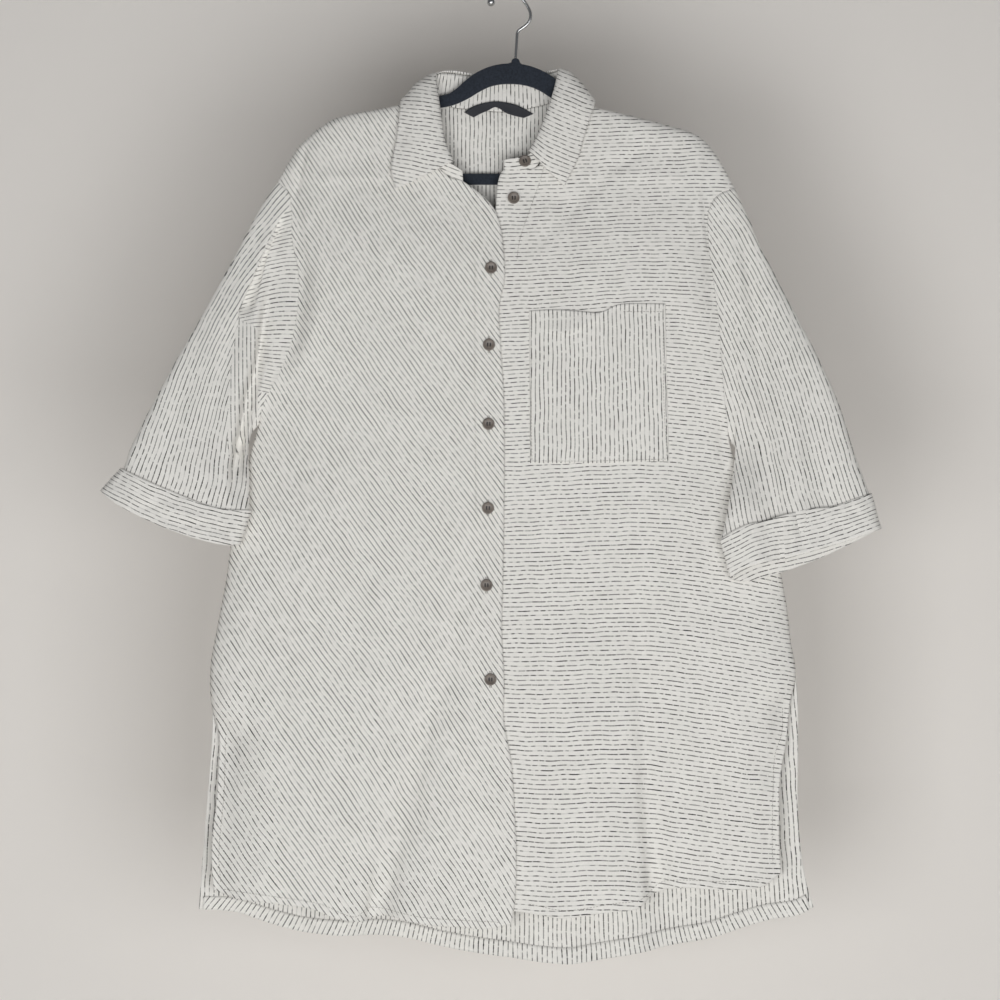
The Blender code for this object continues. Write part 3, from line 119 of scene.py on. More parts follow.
# Round the neck, from the right front end over the back to the left front end.
# seam x, depth, drop; roll x, depth, drop; leaf edge x, depth, drop
NECK = (
    (-48.0, -13.0, 188.0, -48.5, -15.0, 178.0, -112.0, -15.0, 207.0),
    (-61.0, -13.0, 184.0, -59.0, -17.0, 171.0, -115.5, -15.2, 196.0),
    (-78.0, -12.5, 165.0, -68.0, -17.0, 153.0, -120.0, -15.0, 179.0),
    (-81.0, -11.0, 135.0, -73.0, -15.0, 125.0, -115.0, -14.0, 148.0),
    (-82.0, -8.0, 108.0, -76.5, -9.5, 102.0, -112.0, -12.5, 122.0),
    (-82.0, -4.5, 101.5, -77.3, -5.5, 91.0, -111.0, -10.0, 112.0),
    (-81.0, 0.0, 97.0, -77.0, 0.0, 83.0, -109.5, 0.0, 105.0),
    (-75.0, 5.0, 102.0, -71.0, 5.0, 79.0, -99.0, 11.0, 109.0),
    (-65.0, 7.5, 110.0, -61.0, 8.0, 79.0, -84.0, 14.5, 118.0),
    (-3.0, 8.5, 117.0, -3.0, 9.5, 86.0, -3.0, 15.5, 128.0),
    (43.0, 8.0, 105.5, 40.0, 8.5, 79.0, 63.0, 14.5, 115.0),
    (53.0, 5.5, 93.0, 47.5, 5.5, 77.0, 77.0, 11.0, 108.0),
    (56.0, 0.0, 88.0, 50.0, 0.0, 78.0, 84.5, 0.0, 106.0),
    (55.5, -4.5, 93.5, 48.5, -5.5, 88.0, 83.0, -10.0, 114.0),
    (54.0, -8.0, 101.0, 45.0, -9.5, 101.0, 79.0, -12.5, 124.0),
    (49.0, -11.0, 127.0, 36.0, -14.0, 128.0, 72.0, -13.0, 148.0),
    (38.0, -12.0, 153.0, 26.0, -15.5, 151.0, 65.0, -14.0, 170.0),
    (24.0, -12.5, 174.5, 19.0, -15.5, 161.0, 53.0, -14.5, 193.0),
    (-7.0, -12.5, 176.0, -7.0, -14.0, 167.0, 44.0, -14.5, 206.0),
)
NECK_MIDDLE = -10.0     # x of the middle of the neck
NECK_RIGHT_POINT = 6.0
NECK_LEFT_POINT = 12.0
NECK_LAST = 18.0
HALVINGS = 30           # steps that find a place round the neck
NECK_REACH = 0.9        # half the stretch over which the neck's direction is taken
STAND_CLEAR_SHARE = 0.05  # panels' inner edges lean away from the stand by this share
LEAF_OVER = (9.0, 2.5)  # the leaf's roll bulges out and up by this much
LEAF_FALL = (0.4, 5.0)  # then falls through this share of its width, this far out
STAND_SHARES = (0.0, 0.33, 0.67, 1.0)
LEAF_SHARES = (0.0, 0.12, 0.26, 0.42, 0.60, 0.80, 1.0)
BACK_NECK_PLACES = (6.5, 7.0, 8.0, 8.5, 9.0, 9.5, 10.0, 11.0, 11.5)

# ---------------------------------------------------------------- outlines, x and drop
RIGHT_SHOULDER = (
    (-81.1, 97.3), (-95.0, 104.0), (-109.0, 110.0), (-131.0, 115.0), (-161.0, 120.5),
    (-181.0, 127.0), (-201.0, 142.0), (-211.0, 151.5), (-221.0, 166.0), (-234.0, 188.0),
)
LEFT_SHOULDER = (
    (56.2, 88.3), (69.0, 102.0), (83.0, 113.0), (94.0, 115.5), (129.0, 124.0),
    (169.0, 135.0), (186.0, 141.0), (199.0, 153.0), (209.0, 167.0), (224.0, 194.0),
)
RIGHT_ARMHOLE = (
    (-234.0, 188.0), (-223.0, 199.0), (-220.0, 218.0), (-220.0, 242.0), (-214.0, 269.0),
    (-212.0, 299.0), (-216.0, 332.0), (-223.0, 359.0), (-234.0, 384.0), (-244.0, 402.0),
    (-250.0, 417.0), (-253.0, 432.0),
)
LEFT_ARMHOLE = (
    (224.0, 194.0), (205.0, 203.0), (199.0, 215.0), (197.0, 235.0), (200.0, 272.0),
    (205.0, 300.0), (209.0, 340.0), (212.0, 387.0), (216.0, 424.0), (219.0, 448.0),
)
BACK_ARMHOLE_OUT = 12.0  # the back armhole is cut this much further out at its middle
ARMHOLE_LENGTH = 250.0   # rough size of the armhole, for the direction of its edge
ARMHOLE_HALF = 10.0
ARMHOLE_SIGHT = 0.01    # share of its length either way over which its direction is taken
UNDERARM_FROM = 0.6     # the wider gap under the arm starts at this share of the armhole
RIGHT_SIDE = (
    (-253.0, 432.0), (-257.0, 448.0), (-264.0, 470.0), (-273.0, 510.0), (-281.0, 553.0),
    (-289.0, 610.0),
    (-300.0, 660.0), (-301.0, 687.0), (-299.0, 719.0),
)
LEFT_SIDE = (
    (219.0, 448.0), (224.0, 463.0), (230.0, 488.0), (248.0, 530.0), (263.0, 562.0),
    (273.0, 590.0),
    (279.0, 640.0), (286.0, 679.0), (285.5, 685.0),
)
RIGHT_FRONT_SLIT = (
    (-299.0, 719.0), (-293.0, 737.0), (-294.0, 797.0), (-300.0, 865.0), (-297.0, 897.0),
)
LEFT_FRONT_SLIT = (
    (285.5, 685.0), (280.0, 707.0), (279.0, 735.0), (272.0, 759.0), (269.0, 787.0),
    (268.0, 847.0), (270.0, 880.0),
)
RIGHT_BACK_SLIT = (
    (-299.0, 719.0), (-301.0, 762.0), (-308.0, 842.0), (-311.0, 882.0), (-313.5, 918.0),
)
LEFT_BACK_SLIT = (
    (285.5, 685.0), (288.0, 717.0), (288.0, 807.0), (291.0, 857.0), (297.0, 892.0),
    (304.0, 916.0),
)
RIGHT_BAND_EDGE = (
    (-48.0, 188.0), (-31.0, 192.0), (-19.0, 210.0), (-12.0, 232.0), (-7.0, 262.0),
    (-6.5, 286.0), (-11.5, 308.0), (-9.5, 367.0), (-6.5, 423.0), (-8.0, 585.0),
    (-9.5, 628.0), (-6.5, 678.0), (-7.5, 727.0), (-1.0, 757.0), (5.0, 852.0),
    (4.5, 900.0), (0.0, 930.0),
)
LEFT_BAND_EDGE = (
    (-7.0, 176.0), (-9.0, 185.0), (-13.0, 212.0), (-24.0, 250.0), (-31.0, 290.0),
    (-36.0, 340.0), (-37.0, 500.0), (-37.0, 700.0), (-34.0, 800.0), (-26.0, 920.0),
)
RIGHT_FRONT_HEM = (
    (0.0, 930.0), (-11.0, 935.0), (-51.0, 933.0), (-86.0, 930.0), (-141.0, 921.0),
    (-156.0, 931.0), (-191.0, 916.0), (-236.0, 909.0), (-271.0, 906.0), (-297.0, 897.0),
)
LEFT_FRONT_HEM = (
    (-26.0, 920.0), (3.0, 917.0), (39.0, 923.0), (54.0, 924.0), (104.0, 917.0),
    (129.0, 914.0), (154.0, 896.0), (209.0, 896.0), (249.0, 894.0), (270.0, 880.0),
)
BACK_HEM = (
    (-313.5, 918.0), (-276.0, 921.0), (-246.0, 931.0), (-211.0, 940.0), (-171.0, 944.0),
    (-131.0, 944.0), (-101.0, 948.0), (-71.0, 956.0), (-31.0, 963.0), (19.0, 969.0),
    (54.0, 973.5), (94.0, 968.0), (129.0, 962.0), (159.0, 955.0), (199.0, 948.0),
    (229.0, 938.0), (259.0, 929.0), (289.0, 924.0), (304.0, 916.0),
)

FOLD_PAST_FOOT = 1.15   # a fold keeps growing to this share of its length
# Folds in the body cloth. A positive height stands out from the panel.
# top x, top drop, low x, low drop, half width, height at the top, height at the foot
RIGHT_FRONT_FOLDS = (
    (-40.0, 540.0, -132.0, 925.0, 26.0, 0.0, -9.0),
    (-30.0, 600.0, -88.0, 925.0, 30.0, 0.0, 6.0),
    (-185.0, 640.0, -205.0, 920.0, 34.0, 0.0, 5.0),
    (-186.0, 190.0, -196.0, 420.0, 20.0, 0.0, 3.0),
)
LEFT_FRONT_FOLDS = (
    (134.0, 560.0, 148.0, 910.0, 24.0, 0.0, -9.0),
    (100.0, 600.0, 104.0, 925.0, 30.0, 0.0, 6.0),
    (190.0, 640.0, 205.0, 890.0, 22.0, 0.0, -5.0),
    (60.0, 640.0, 52.0, 925.0, 26.0, 0.0, 3.0),
)
BACK_FOLDS = (
    (-150.0, 480.0, -190.0, 945.0, 34.0, 0.0, -8.0),
    (-60.0, 560.0, -78.0, 955.0, 30.0, 0.0, 6.0),
    (40.0, 420.0, 52.0, 970.0, 34.0, 0.0, -7.0),
    (150.0, 520.0, 170.0, 950.0, 32.0, 0.0, 7.0),
)

# ---------------------------------------------------------------- sleeves, x and drop
RIGHT_SLEEVE_TOP = (
    (-234.0, 188.0), (-247.0, 207.0), (-262.0, 235.0), (-291.0, 289.0), (-333.0, 365.0),
    (-377.0, 448.0), (-388.0, 476.0),
)
RIGHT_SLEEVE_UNDER = (
    (-253.0, 432.0), (-260.0, 447.0), (-262.0, 462.0), (-261.0, 485.0), (-261.0, 517.0),
)
RIGHT_CUFF_TOP = (
    (-388.0, 476.0), (-371.0, 484.0), (-341.0, 497.0), (-311.0, 509.0), (-286.0, 516.0),
    (-261.0, 517.0),
)
RIGHT_CUFF_END = (
    (-409.0, 499.0), (-398.0, 508.0), (-381.0, 518.0), (-351.0, 532.0), (-311.0, 546.0),
    (-285.0, 552.0), (-272.0, 551.0),
)
LEFT_SLEEVE_TOP = (
    (224.0, 194.0), (234.0, 214.0), (244.0, 240.0), (259.0, 271.0), (299.0, 348.0),
    (325.0, 404.0), (342.0, 457.0), (358.0, 501.0),
)
LEFT_SLEEVE_UNDER = (
    (219.0, 448.0), (225.0, 462.0), (221.0, 482.0), (217.0, 507.0), (210.0, 546.0),
)
UNDERARM_TURN = 78.0    # below the underarm the sleeve swings forward over this drop
UNDERARM_LEAD = 4.0     # and starts to swing this far above it
SWING_PACE = 1.05       # near its top edge the sleeve swings forward over its length, at this pace
SWING_ACROSS = (0.45, 0.4)  # share across where one way of swinging blends to the other, over this
SLEEVE_CLEAR = 3.0      # the sleeve stands off the armhole by this much just past its seam
SLEEVE_CLEAR_PACE = 2.5  # and reaches that from its top edge over the armhole, at this pace
LEFT_CUFF_TOP = (
    (358.0, 501.0), (339.0, 507.0), (324.0, 513.0), (289.0, 517.0), (259.0, 526.0),
    (229.0, 533.0), (210.0, 546.0),
)
LEFT_CUFF_END_FRONT = (
    (368.0, 536.0), (334.0, 548.0), (309.0, 555.0), (269.0, 567.0), (234.0, 574.0),
    (221.0, 584.0),
)
LEFT_CUFF_END_BACK = (
    (368.0, 536.0), (339.0, 551.0), (299.0, 569.0), (254.0, 584.0), (234.0, 588.0),
    (221.0, 585.0),
)
ARMHOLE_DEPTHS = (6.5, 12.0, 9.0)  # at the shoulder, at the underarm in front and behind
SLEEVE_ROWS = (0.0, 0.09, 0.20, 0.32, 0.45, 0.58, 0.71, 0.84, 0.93, 1.0)
CUFF_ROWS = (0.10, 0.4, 0.7, 1.0)
# The deep tuck in the right sleeve: share down the sleeve, share across, depth.
RIGHT_SLEEVE_TUCK = (
    (0.0, 0.16, 0.0),
    (0.12, 0.24, 3.0),
    (0.35, 0.46, 9.0),
    (0.60, 0.66, 10.0),
    (0.80, 0.78, 6.0),
    (1.0, 0.84, 0.0),
)
TUCK_STEP = 0.04        # share across over which the tuck drops, and over which it runs out
TUCK_RUN_OUT = 0.26
TUCK_LEAD = 0.01        # the last point before the tuck's edge
PAST_TUCK = (0.2, 0.42, 0.65, 0.87, 1.0)  # points from the tuck's foot to the under edge
# Soft folds down the left sleeve: share across, half width, depth.
LEFT_SLEEVE_VALLEYS = ((0.33, 0.07, 4.0), (0.66, 0.08, 5.0))
VALLEY_START = 0.5      # share down the sleeve over which they deepen

# ---------------------------------------------------------------- trims
POCKET_TOP = (
    (18.0, 318.0), (44.0, 317.0), (69.0, 318.5), (85.0, 320.0), (94.0, 318.0),
    (102.0, 313.5), (114.0, 311.0), (154.0, 311.0),
)
POCKET_FOOT = ((19.0, 470.0), (88.0, 470.0), (158.0, 468.0))
LABEL_TOP = (
    (-47.0, 118.0), (-41.0, 113.5), (-31.0, 109.5), (-16.0, 107.0), (-1.0, 108.8),
    (9.0, 112.0), (22.5, 119.5),
)
LABEL_FOOT = (
    (-37.5, 123.0), (-31.0, 119.5), (-23.0, 116.0), (-16.0, 112.7), (-11.0, 114.5),
    (-5.0, 118.5), (4.0, 121.5), (13.0, 123.5),
)
LABEL_SEAT_PLACE = 8.1   # place round the neck where the label is closest to the stand
# Buttons down the front: x, drop, and what each is sewn to.
BUTTONS = (
    (14.0, 168.5, "stand"),
    (2.5, 205.0, "left"),
    (-20.0, 275.0, "right"),
    (-22.0, 352.0, "right"),
    (-22.5, 431.0, "right"),
    (-23.0, 515.0, "right"),
    (-24.5, 592.0, "right"),
    (-20.5, 686.0, "right"),
)

# Hanger arms from the right tip to the left tip: x, top drop, lower drop.
HANGER_ARMS = (
    (-190.0, 141.5, 156.0), (-161.0, 127.5, 142.0), (-109.0, 115.5, 129.5),
    (-75.0, 103.0, 115.0), (-62.0, 99.6, 112.4), (-56.0, 95.6, 110.6), (-50.0, 90.4, 108.2),
    (-41.0, 82.6, 103.6), (-31.0, 76.4, 97.4), (-21.0, 72.3, 92.7), (-11.0, 70.0, 90.5),
    (0.0, 69.1, 90.0), (9.0, 69.7, 90.6), (19.0, 71.8, 92.6), (29.0, 75.4, 96.8),
    (39.0, 80.6, 103.2), (50.0, 89.3, 111.0), (60.0, 99.5, 118.5), (83.0, 121.5, 133.0),
    (129.0, 131.5, 145.0), (179.0, 146.5, 161.0),
)
# Outer corners of the tips, down from the arm: x, drop.
RIGHT_TIP = ((-201.0, 152.5), (-206.0, 163.0), (-206.0, 178.0), (-195.0, 191.0))
LEFT_TIP = ((196.0, 160.0), (200.0, 170.0), (200.0, 176.0), (186.0, 191.0))
# Corners of the gap beside the tips, above the bar's top: x, drop.
RIGHT_GAP_END = ((-193.0, 168.0), (-186.0, 180.0))
LEFT_GAP_END = ((183.0, 170.0), (176.0, 180.0))
ARM_STEPS = 60          # points along each edge of the arms
NUB = (4.6, 68.2, 4.3)  # rounded boss under the hook: x and drop of its middle, radius
NUB_STEPS = 10
# Centreline of the hook from its free end over the top to the boss: x, drop.
HOOK_LINE = (
    (-20.0, 7.6), (-17.6, 3.4), (-12.0, 0.0), (0.0, -1.7), (8.0, 1.5), (14.0, 8.0), (18.8, 16.5),
    (19.6, 22.5), (17.2, 28.8), (11.5, 33.6), (7.4, 36.6), (6.2, 40.0), (5.6, 50.0), (4.6, 63.6),
)
HOOK_STEPS = 56
# Sections through the ball, along the wire: place and radius, as shares of its radius.
BALL_RINGS = (
    (-0.98, 0.2), (-0.8, 0.6), (-0.45, 0.89), (0.0, 1.0), (0.45, 0.89), (0.8, 0.6), (0.92, 0.39),
)


# ---------------------------------------------------------------- curves and blends
def mix(a, b, share):
    return a + (b - a) * share


def ease(share):
    share = min(1.0, max(0.0, share))
    return share * share * (3.0 - 2.0 * share)


def roll(inset, radius):
    """Share of full depth at this inset from a closed edge, on a quarter ellipse."""
    rest = 1.0 - min(1.0, inset / radius)
    return math.sqrt(1.0 - rest * rest)


def hermite(a, b, slope_a, slope_b, share):
    s2 = share * share
    s3 = s2 * share
    return (
        a * (2 * s3 - 3 * s2 + 1)
        + slope_a * (s3 - 2 * s2 + share)
        + b * (3 * s2 - 2 * s3)
        + slope_b * (s3 - s2)
    )


def unit(vector):
    return vector / np.linalg.norm(vector)


def bezier(a, b, c, d, share):
    rest = 1.0 - share
    return a * rest**3 + b * 3 * rest**2 * share + c * 3 * rest * share**2 + d * share**3


def along(rows):
    """A smooth edge through the rows, as a function of the share of its length."""
    points = [np.array(row) for row in rows]
    reach = [0.0]
    for a, b in zip(points, points[1:]):
        reach.append(reach[-1] + float(np.linalg.norm(b - a)))
    last = len(points) - 1
    slopes = []
    for i in range(last + 1):
        before, after = max(i - 1, 0), min(i + 1, last)
        slopes.append((points[after] - points[before]) / (reach[after] - reach[before]))

    def at(share):
        length = min(1.0, max(0.0, share)) * reach[-1]
        i = min(max(bisect_right(reach, length) - 1, 0), last - 1)
        step = reach[i + 1] - reach[i]
        local = (length - reach[i]) / step
        return hermite(points[i], points[i + 1], slopes[i] * step, slopes[i + 1] * step, local)

    return at


def table_at(rows, key):
    """Values of a table whose first column rises, eased from row to row."""
    rows = [np.array(row) for row in rows]
    if key <= rows[0][0]:
        return rows[0][1:]
    for low, high in zip(rows, rows[1:]):
        if key <= high[0]:
            share = (key - low[0]) / (high[0] - low[0])
            return mix(low[1:], high[1:], ease(share))
    return rows[-1][1:]


def neck_at(place):
    """Seam, roll and leaf edge of the collar at a place round the neck."""
    rows = [np.array(row) for row in NECK]
    last = len(rows) - 1
    i = min(int(place), last - 1)
    slope_a = (rows[i + 1] - rows[max(i - 1, 0)]) / 2.0
    slope_b = (rows[min(i + 2, last)] - rows[i]) / 2.0
    values = hermite(rows[i], rows[i + 1], slope_a, slope_b, place - i)
    return values[0:3], values[3:6], values[6:9]


def neck_frame(place):
    """Directions round the neck: up from its seam and out, and up square to its roll."""
    seam, roll_line, _ = neck_at(place)
    before = neck_at(max(place - NECK_REACH, 0.0))[0]
    after = neck_at(min(place + NECK_REACH, NECK_LAST))[0]
    ahead = unit(after - before)
    rise = unit(roll_line - seam)
    outward = unit(np.cross(ahead, rise))
    lift = np.cross(outward, ahead)
    return rise, outward, lift


def below_stand(place):
    """A panel's neck edge, the seam's gap below the stand."""
    rise, _, _ = neck_frame(place)
    return neck_at(place)[0] - rise * SEAM_GAP


# ---------------------------------------------------------------- body panels
def fold_height(folds, x, drop):
    """How far the folds push the cloth out here."""
    total = 0.0
    for top_x, top_drop, low_x, low_drop, width, top_height, low_height in folds:
        share = (drop - top_drop) / (low_drop - top_drop)
        if share <= 0.0:
            continue
        share = min(share, FOLD_PAST_FOOT)
        off = (x - mix(top_x, low_x, share)) / width
        total += mix(top_height, low_height, share) * math.exp(-off * off)
    return total


def front_depth(side, x, drop):
    front, _ = table_at(BODY_DEPTHS, drop)
    depth = front + side["set_back"] * ease((drop - SET_BACK_DROP) / SET_BACK_REACH)
    clear_of_band = ease((abs(x - BAND_MIDDLE) - BAND_FLAT_HALF) / BAND_BLEND)
    return depth - fold_height(side["front_folds"], x, drop) * clear_of_band


def back_depth(x, drop):
    _, back = table_at(BODY_DEPTHS, drop)
    return back + fold_height(BACK_FOLDS, x, drop)


RIGHT = {
    "sign": -1.0,
    "set_back": 0.0,
    "neck_point": NECK_RIGHT_POINT,
    "neck_end": 0.0,
    "shoulder": along(RIGHT_SHOULDER),
    "armhole": along(RIGHT_ARMHOLE),
    "side": along(RIGHT_SIDE),
    "front_slit": along(RIGHT_FRONT_SLIT),
    "back_slit": along(RIGHT_BACK_SLIT),
    "band_edge": along(RIGHT_BAND_EDGE),
    "front_hem": along(RIGHT_FRONT_HEM),
    "front_folds": RIGHT_FRONT_FOLDS,
    "sleeve_top": along(RIGHT_SLEEVE_TOP),
    "sleeve_under": along(RIGHT_SLEEVE_UNDER),
    "cuff_top": along(RIGHT_CUFF_TOP),
    "cuff_end_front": along(RIGHT_CUFF_END),
    "cuff_end_back": along(RIGHT_CUFF_END),
    "cuff_depths": (-12.0, -25.0, 9.0, 7.0),
}
LEFT = {
    "sign": 1.0,
    "set_back": LAP_SET_BACK,
    "neck_point": NECK_LEFT_POINT,
    "neck_end": NECK_LAST,
    "shoulder": along(LEFT_SHOULDER),
    "armhole": along(LEFT_ARMHOLE),
    "side": along(LEFT_SIDE),
    "front_slit": along(LEFT_FRONT_SLIT),
    "back_slit": along(LEFT_BACK_SLIT),
    "band_edge": along(LEFT_BAND_EDGE),
    "front_hem": along(LEFT_FRONT_HEM),
    "front_folds": LEFT_FRONT_FOLDS,
    "sleeve_top": along(LEFT_SLEEVE_TOP),
    "sleeve_under": along(LEFT_SLEEVE_UNDER),
    "cuff_top": along(LEFT_CUFF_TOP),
    "cuff_end_front": along(LEFT_CUFF_END_FRONT),
    "cuff_end_back": along(LEFT_CUFF_END_BACK),
    "cuff_depths": (-14.0, -31.0, 10.0, 7.0),
}


def armhole_frame(side, place):
    """Directions along the armhole's edge and out of it towards the sleeve, x and drop."""
    before = side["armhole"](max(0.0, place - ARMHOLE_SIGHT))
    after = side["armhole"](min(1.0, place + ARMHOLE_SIGHT))
    run = unit(after - before)
    return run, np.array((run[1], -run[0])) * side["sign"]


def armhole_inward(side, face, k):
    """Direction of the cloth's inner face at a point of the armhole seam."""
    places = [(place * ARMHOLE_LENGTH, face * ARMHOLE_HALF * share) for place, share in RING]
    if k == 0:
        along_edge, deep = 1.0, 0.0
    elif k == len(RING) - 1:
        along_edge, deep = -1.0, 0.0
    else:
        step = np.array(places[k + 1]) - np.array(places[k - 1])
        along_edge, deep = unit(np.array((-step[1], step[0]))) * (1.0 if face > 0 else -1.0)
        if deep * face > 0.0:
            along_edge, deep = -along_edge, -deep
    run, _ = armhole_frame(side, RING[k][0])
    return np.array((run[0] * along_edge, deep, run[1] * along_edge))


def armhole_point(side, face, place, share, gap_side):
    """A point of the armhole seam: face is -1 in front and 1 behind.

    gap_side is -1 for the body's edge and 1 for the sleeve's, half the gap either way.
    """
    x, drop = side["armhole"](place)
    full = mix(ARMHOLE_DEPTHS[0], ARMHOLE_DEPTHS[1 if face < 0 else 2], place)
    if face > 0:
        x += side["sign"] * BACK_ARMHOLE_OUT * math.sin(math.pi * place)
    _, outward = armhole_frame(side, place)
    gap = mix(ARMHOLE_GAP, UNDERARM_GAP, ease((place - UNDERARM_FROM) / (1.0 - UNDERARM_FROM)))
    x += outward[0] * gap_side * gap / 2.0
    drop += outward[1] * gap_side * gap / 2.0
    middle = SEAM_DEPTH * place
    return np.array((x, middle + (face * full - middle) * share, drop))


def side_edge(side, face):
    """Rows down a panel's side: point, whether the seam is closed there."""
    rows = [(armhole_point(side, face, place, share, -1), 0.0) for place, share in RING]
    rows[-1] = (rows[-1][0], 1.0)
    for place in SIDE_PLACES:
        x, drop = side["side"](place)
        rows.append((np.array((x, SEAM_DEPTH, drop)), 1.0))
    slit = side["front_slit"] if face < 0 else side["back_slit"]
    for place in SLIT_PLACES:
        x, drop = slit(place)
        depth = mix(SEAM_DEPTH + face * SLIT_PARTING, SLIT_DEPTHS[face], ease(place / SLIT_SETTLE))
        rows.append((np.array((x, depth, drop)), 0.0))
    return rows


def thinned(flat, point, underarm):
    """The body is thin round the underarm and fills out away from it."""
    far = math.hypot(point[0] - underarm[0], point[1] - underarm[1])
    return flat * mix(UNDERARM_SHARE, 1.0, ease(far / UNDERARM_REACH))


def body_depth(flat, edge_depth, closed, inset):
    """Depth near a side edge: rolled to a closed seam, or eased to an open edge."""
    rolled = SEAM_DEPTH + (flat - SEAM_DEPTH) * roll(inset, SIDE_ROLL)
    open_depth = mix(edge_depth, flat, ease(inset / OPEN_BLEND))
    return mix(open_depth, rolled, closed)


def row_columns(width, closed, inner_columns):
    """Shares across a row from the middle edge to the side edge, with their insets."""
    insets = [mix(free, seam, closed) for seam, free in SIDE_INSETS]
    first = 1.0 - insets[0] / width
    columns = [first * i / inner_columns for i in range(inner_columns)]
    return columns + [1.0 - inset / width for inset in insets]


def front_rows(side):
    """Outer points of a front, rows from the shoulder to the hem, middle to side."""
    side_rows = side_edge(side, -1)
    neck_count = len(NECK_PLACES)
    top_drop = side_rows[neck_count - 1][0][2]
    hem_drop = side_rows[-1][0][2]
    length = hem_drop - side_rows[0][0][2]
    start, corner = side["shoulder"](0.0), side["shoulder"](1.0)
    hem_start, hem_corner = side["front_hem"](0.0), side["front_hem"](1.0)
    rows = []
    for k, (edge, closed) in enumerate(side_rows):
        if k < neck_count:
            place = mix(side["neck_point"], side["neck_end"], NECK_PLACES[k])
            edge_point = below_stand(place)
            middle, middle_depth = edge_point[[0, 2]], edge_point[1]
        else:
            share = (edge[2] - top_drop) / (hem_drop - top_drop)
            middle = side["band_edge"](share)
            middle_depth = front_depth(side, middle[0], middle[1])
        fall = (edge[2] - side_rows[0][0][2]) / length
        side_point = np.array((edge[0], edge[2]))
        width = float(np.linalg.norm(side_point - middle))
        shoulder_share = RING[k][1] if k < RIDGE_ROWS else 1.0
        row = []
        for across in row_columns(width, closed, SHOULDER_COLUMNS):
            point = mix(middle, side_point, across)
            ridge = side["shoulder"](across) - mix(start, corner, across)
            hem = side["front_hem"](across) - mix(hem_start, hem_corner, across)
            point = point + ridge * (1.0 - fall) + hem * fall
            inset = (1.0 - across) * width
            flat = front_depth(side, point[0], point[1])
            flat = thinned(flat, point, side["side"](0.0))
            depth = body_depth(flat * shoulder_share, edge[1], closed, inset)
            if k < neck_count:
                depth = mix(middle_depth, depth, ease(across * width / NECK_BLEND))
            row.append(np.array((point[0], depth - SEAM_GAP / 2.0, point[1])))
        rows.append(row)
    return rows


def back_rows():
    """Outer points of the back, rows from the shoulders to the hem, right side to left."""
    right_rows, left_rows = side_edge(RIGHT, 1), side_edge(LEFT, 1)
    neck = [neck_at(place)[0] for place in BACK_NECK_PLACES]
    neck_ends = [neck_at(NECK_RIGHT_POINT)[0], neck_at(NECK_LEFT_POINT)[0]]
    right_top, left_top = right_rows[0][0][0], left_rows[0][0][0]
    top_width = left_top - right_top
    shares = [(end[0] - right_top) / top_width for end in neck_ends]
    hem_at = along(BACK_HEM)
    rows = []
    for k, ((right, closed_right), (left, closed_left)) in enumerate(zip(right_rows, left_rows)):
        right_point, left_point = np.array((right[0], right[2])), np.array((left[0], left[2]))
        width = float(np.linalg.norm(left_point - right_point))
        fall = (right[2] - right_rows[0][0][2]) / (right_rows[-1][0][2] - right_rows[0][0][2])
        shoulder_share = RING[k][1] if k < RIDGE_ROWS else 1.0
        places = back_columns(width, closed_right, closed_left, shares, neck, right_top, top_width)
        row = []
        for across, kind in places:
            top, top_depth = back_top(across, kind, shares)
            ridge = top - mix(
                np.array((right_rows[0][0][0], right_rows[0][0][2])),
                np.array((left_rows[0][0][0], left_rows[0][0][2])),
                across,
            )
            hem = hem_at(across) - mix(hem_at(0.0), hem_at(1.0), across)
            point = mix(right_point, left_point, across)
            point = point + ridge * (1.0 - fall) + hem * fall
            on_right = across < 0.5
            inset = (across if on_right else 1.0 - across) * width
            hold = (1.0 - ease(k / NECK_HOLD_ROWS)) * ease(inset / NECK_HOLD_INSET)
            point[0] = mix(point[0], top[0], hold)
            flat = back_depth(point[0], point[1])
            if kind == "neck" and k < RIDGE_ROWS:
                depth = mix(top_depth, flat, k / RIDGE_ROWS)
                point = point + np.array((0.0, NECK_ROW_DROPS[k]))
            else:
                edge = right if on_right else left
                closed = closed_right if on_right else closed_left
                flat = thinned(flat, point, (RIGHT if on_right else LEFT)["side"](0.0))
                depth = body_depth(flat * shoulder_share, edge[1], closed, inset)
            row.append(np.array((point[0], depth + SEAM_GAP / 2.0, point[1])))
        rows.append(row)
    return rows


def back_columns(width, closed_right, closed_left, shares, neck, right_top, top_width):
    """Places across a row of the back: share and kind."""
    places = [(mix(free, seam, closed_right) / width, "side")
              for seam, free in reversed(SIDE_INSETS)]
    first = places[-1][0]
    for i in range(1, SHOULDER_COLUMNS + 1):
        places.append((mix(first, shares[0], i / SHOULDER_COLUMNS), "shoulder"))
    for point in neck:
        places.append(((point[0] - right_top) / top_width, "neck"))
    last = 1.0 - mix(SIDE_INSETS[0][1], SIDE_INSETS[0][0], closed_left) / width
    for i in range(SHOULDER_COLUMNS):
        places.append((mix(shares[1], last, i / SHOULDER_COLUMNS), "shoulder"))
    places += [(1.0 - mix(free, seam, closed_left) / width, "side")
               for seam, free in SIDE_INSETS]
    return places


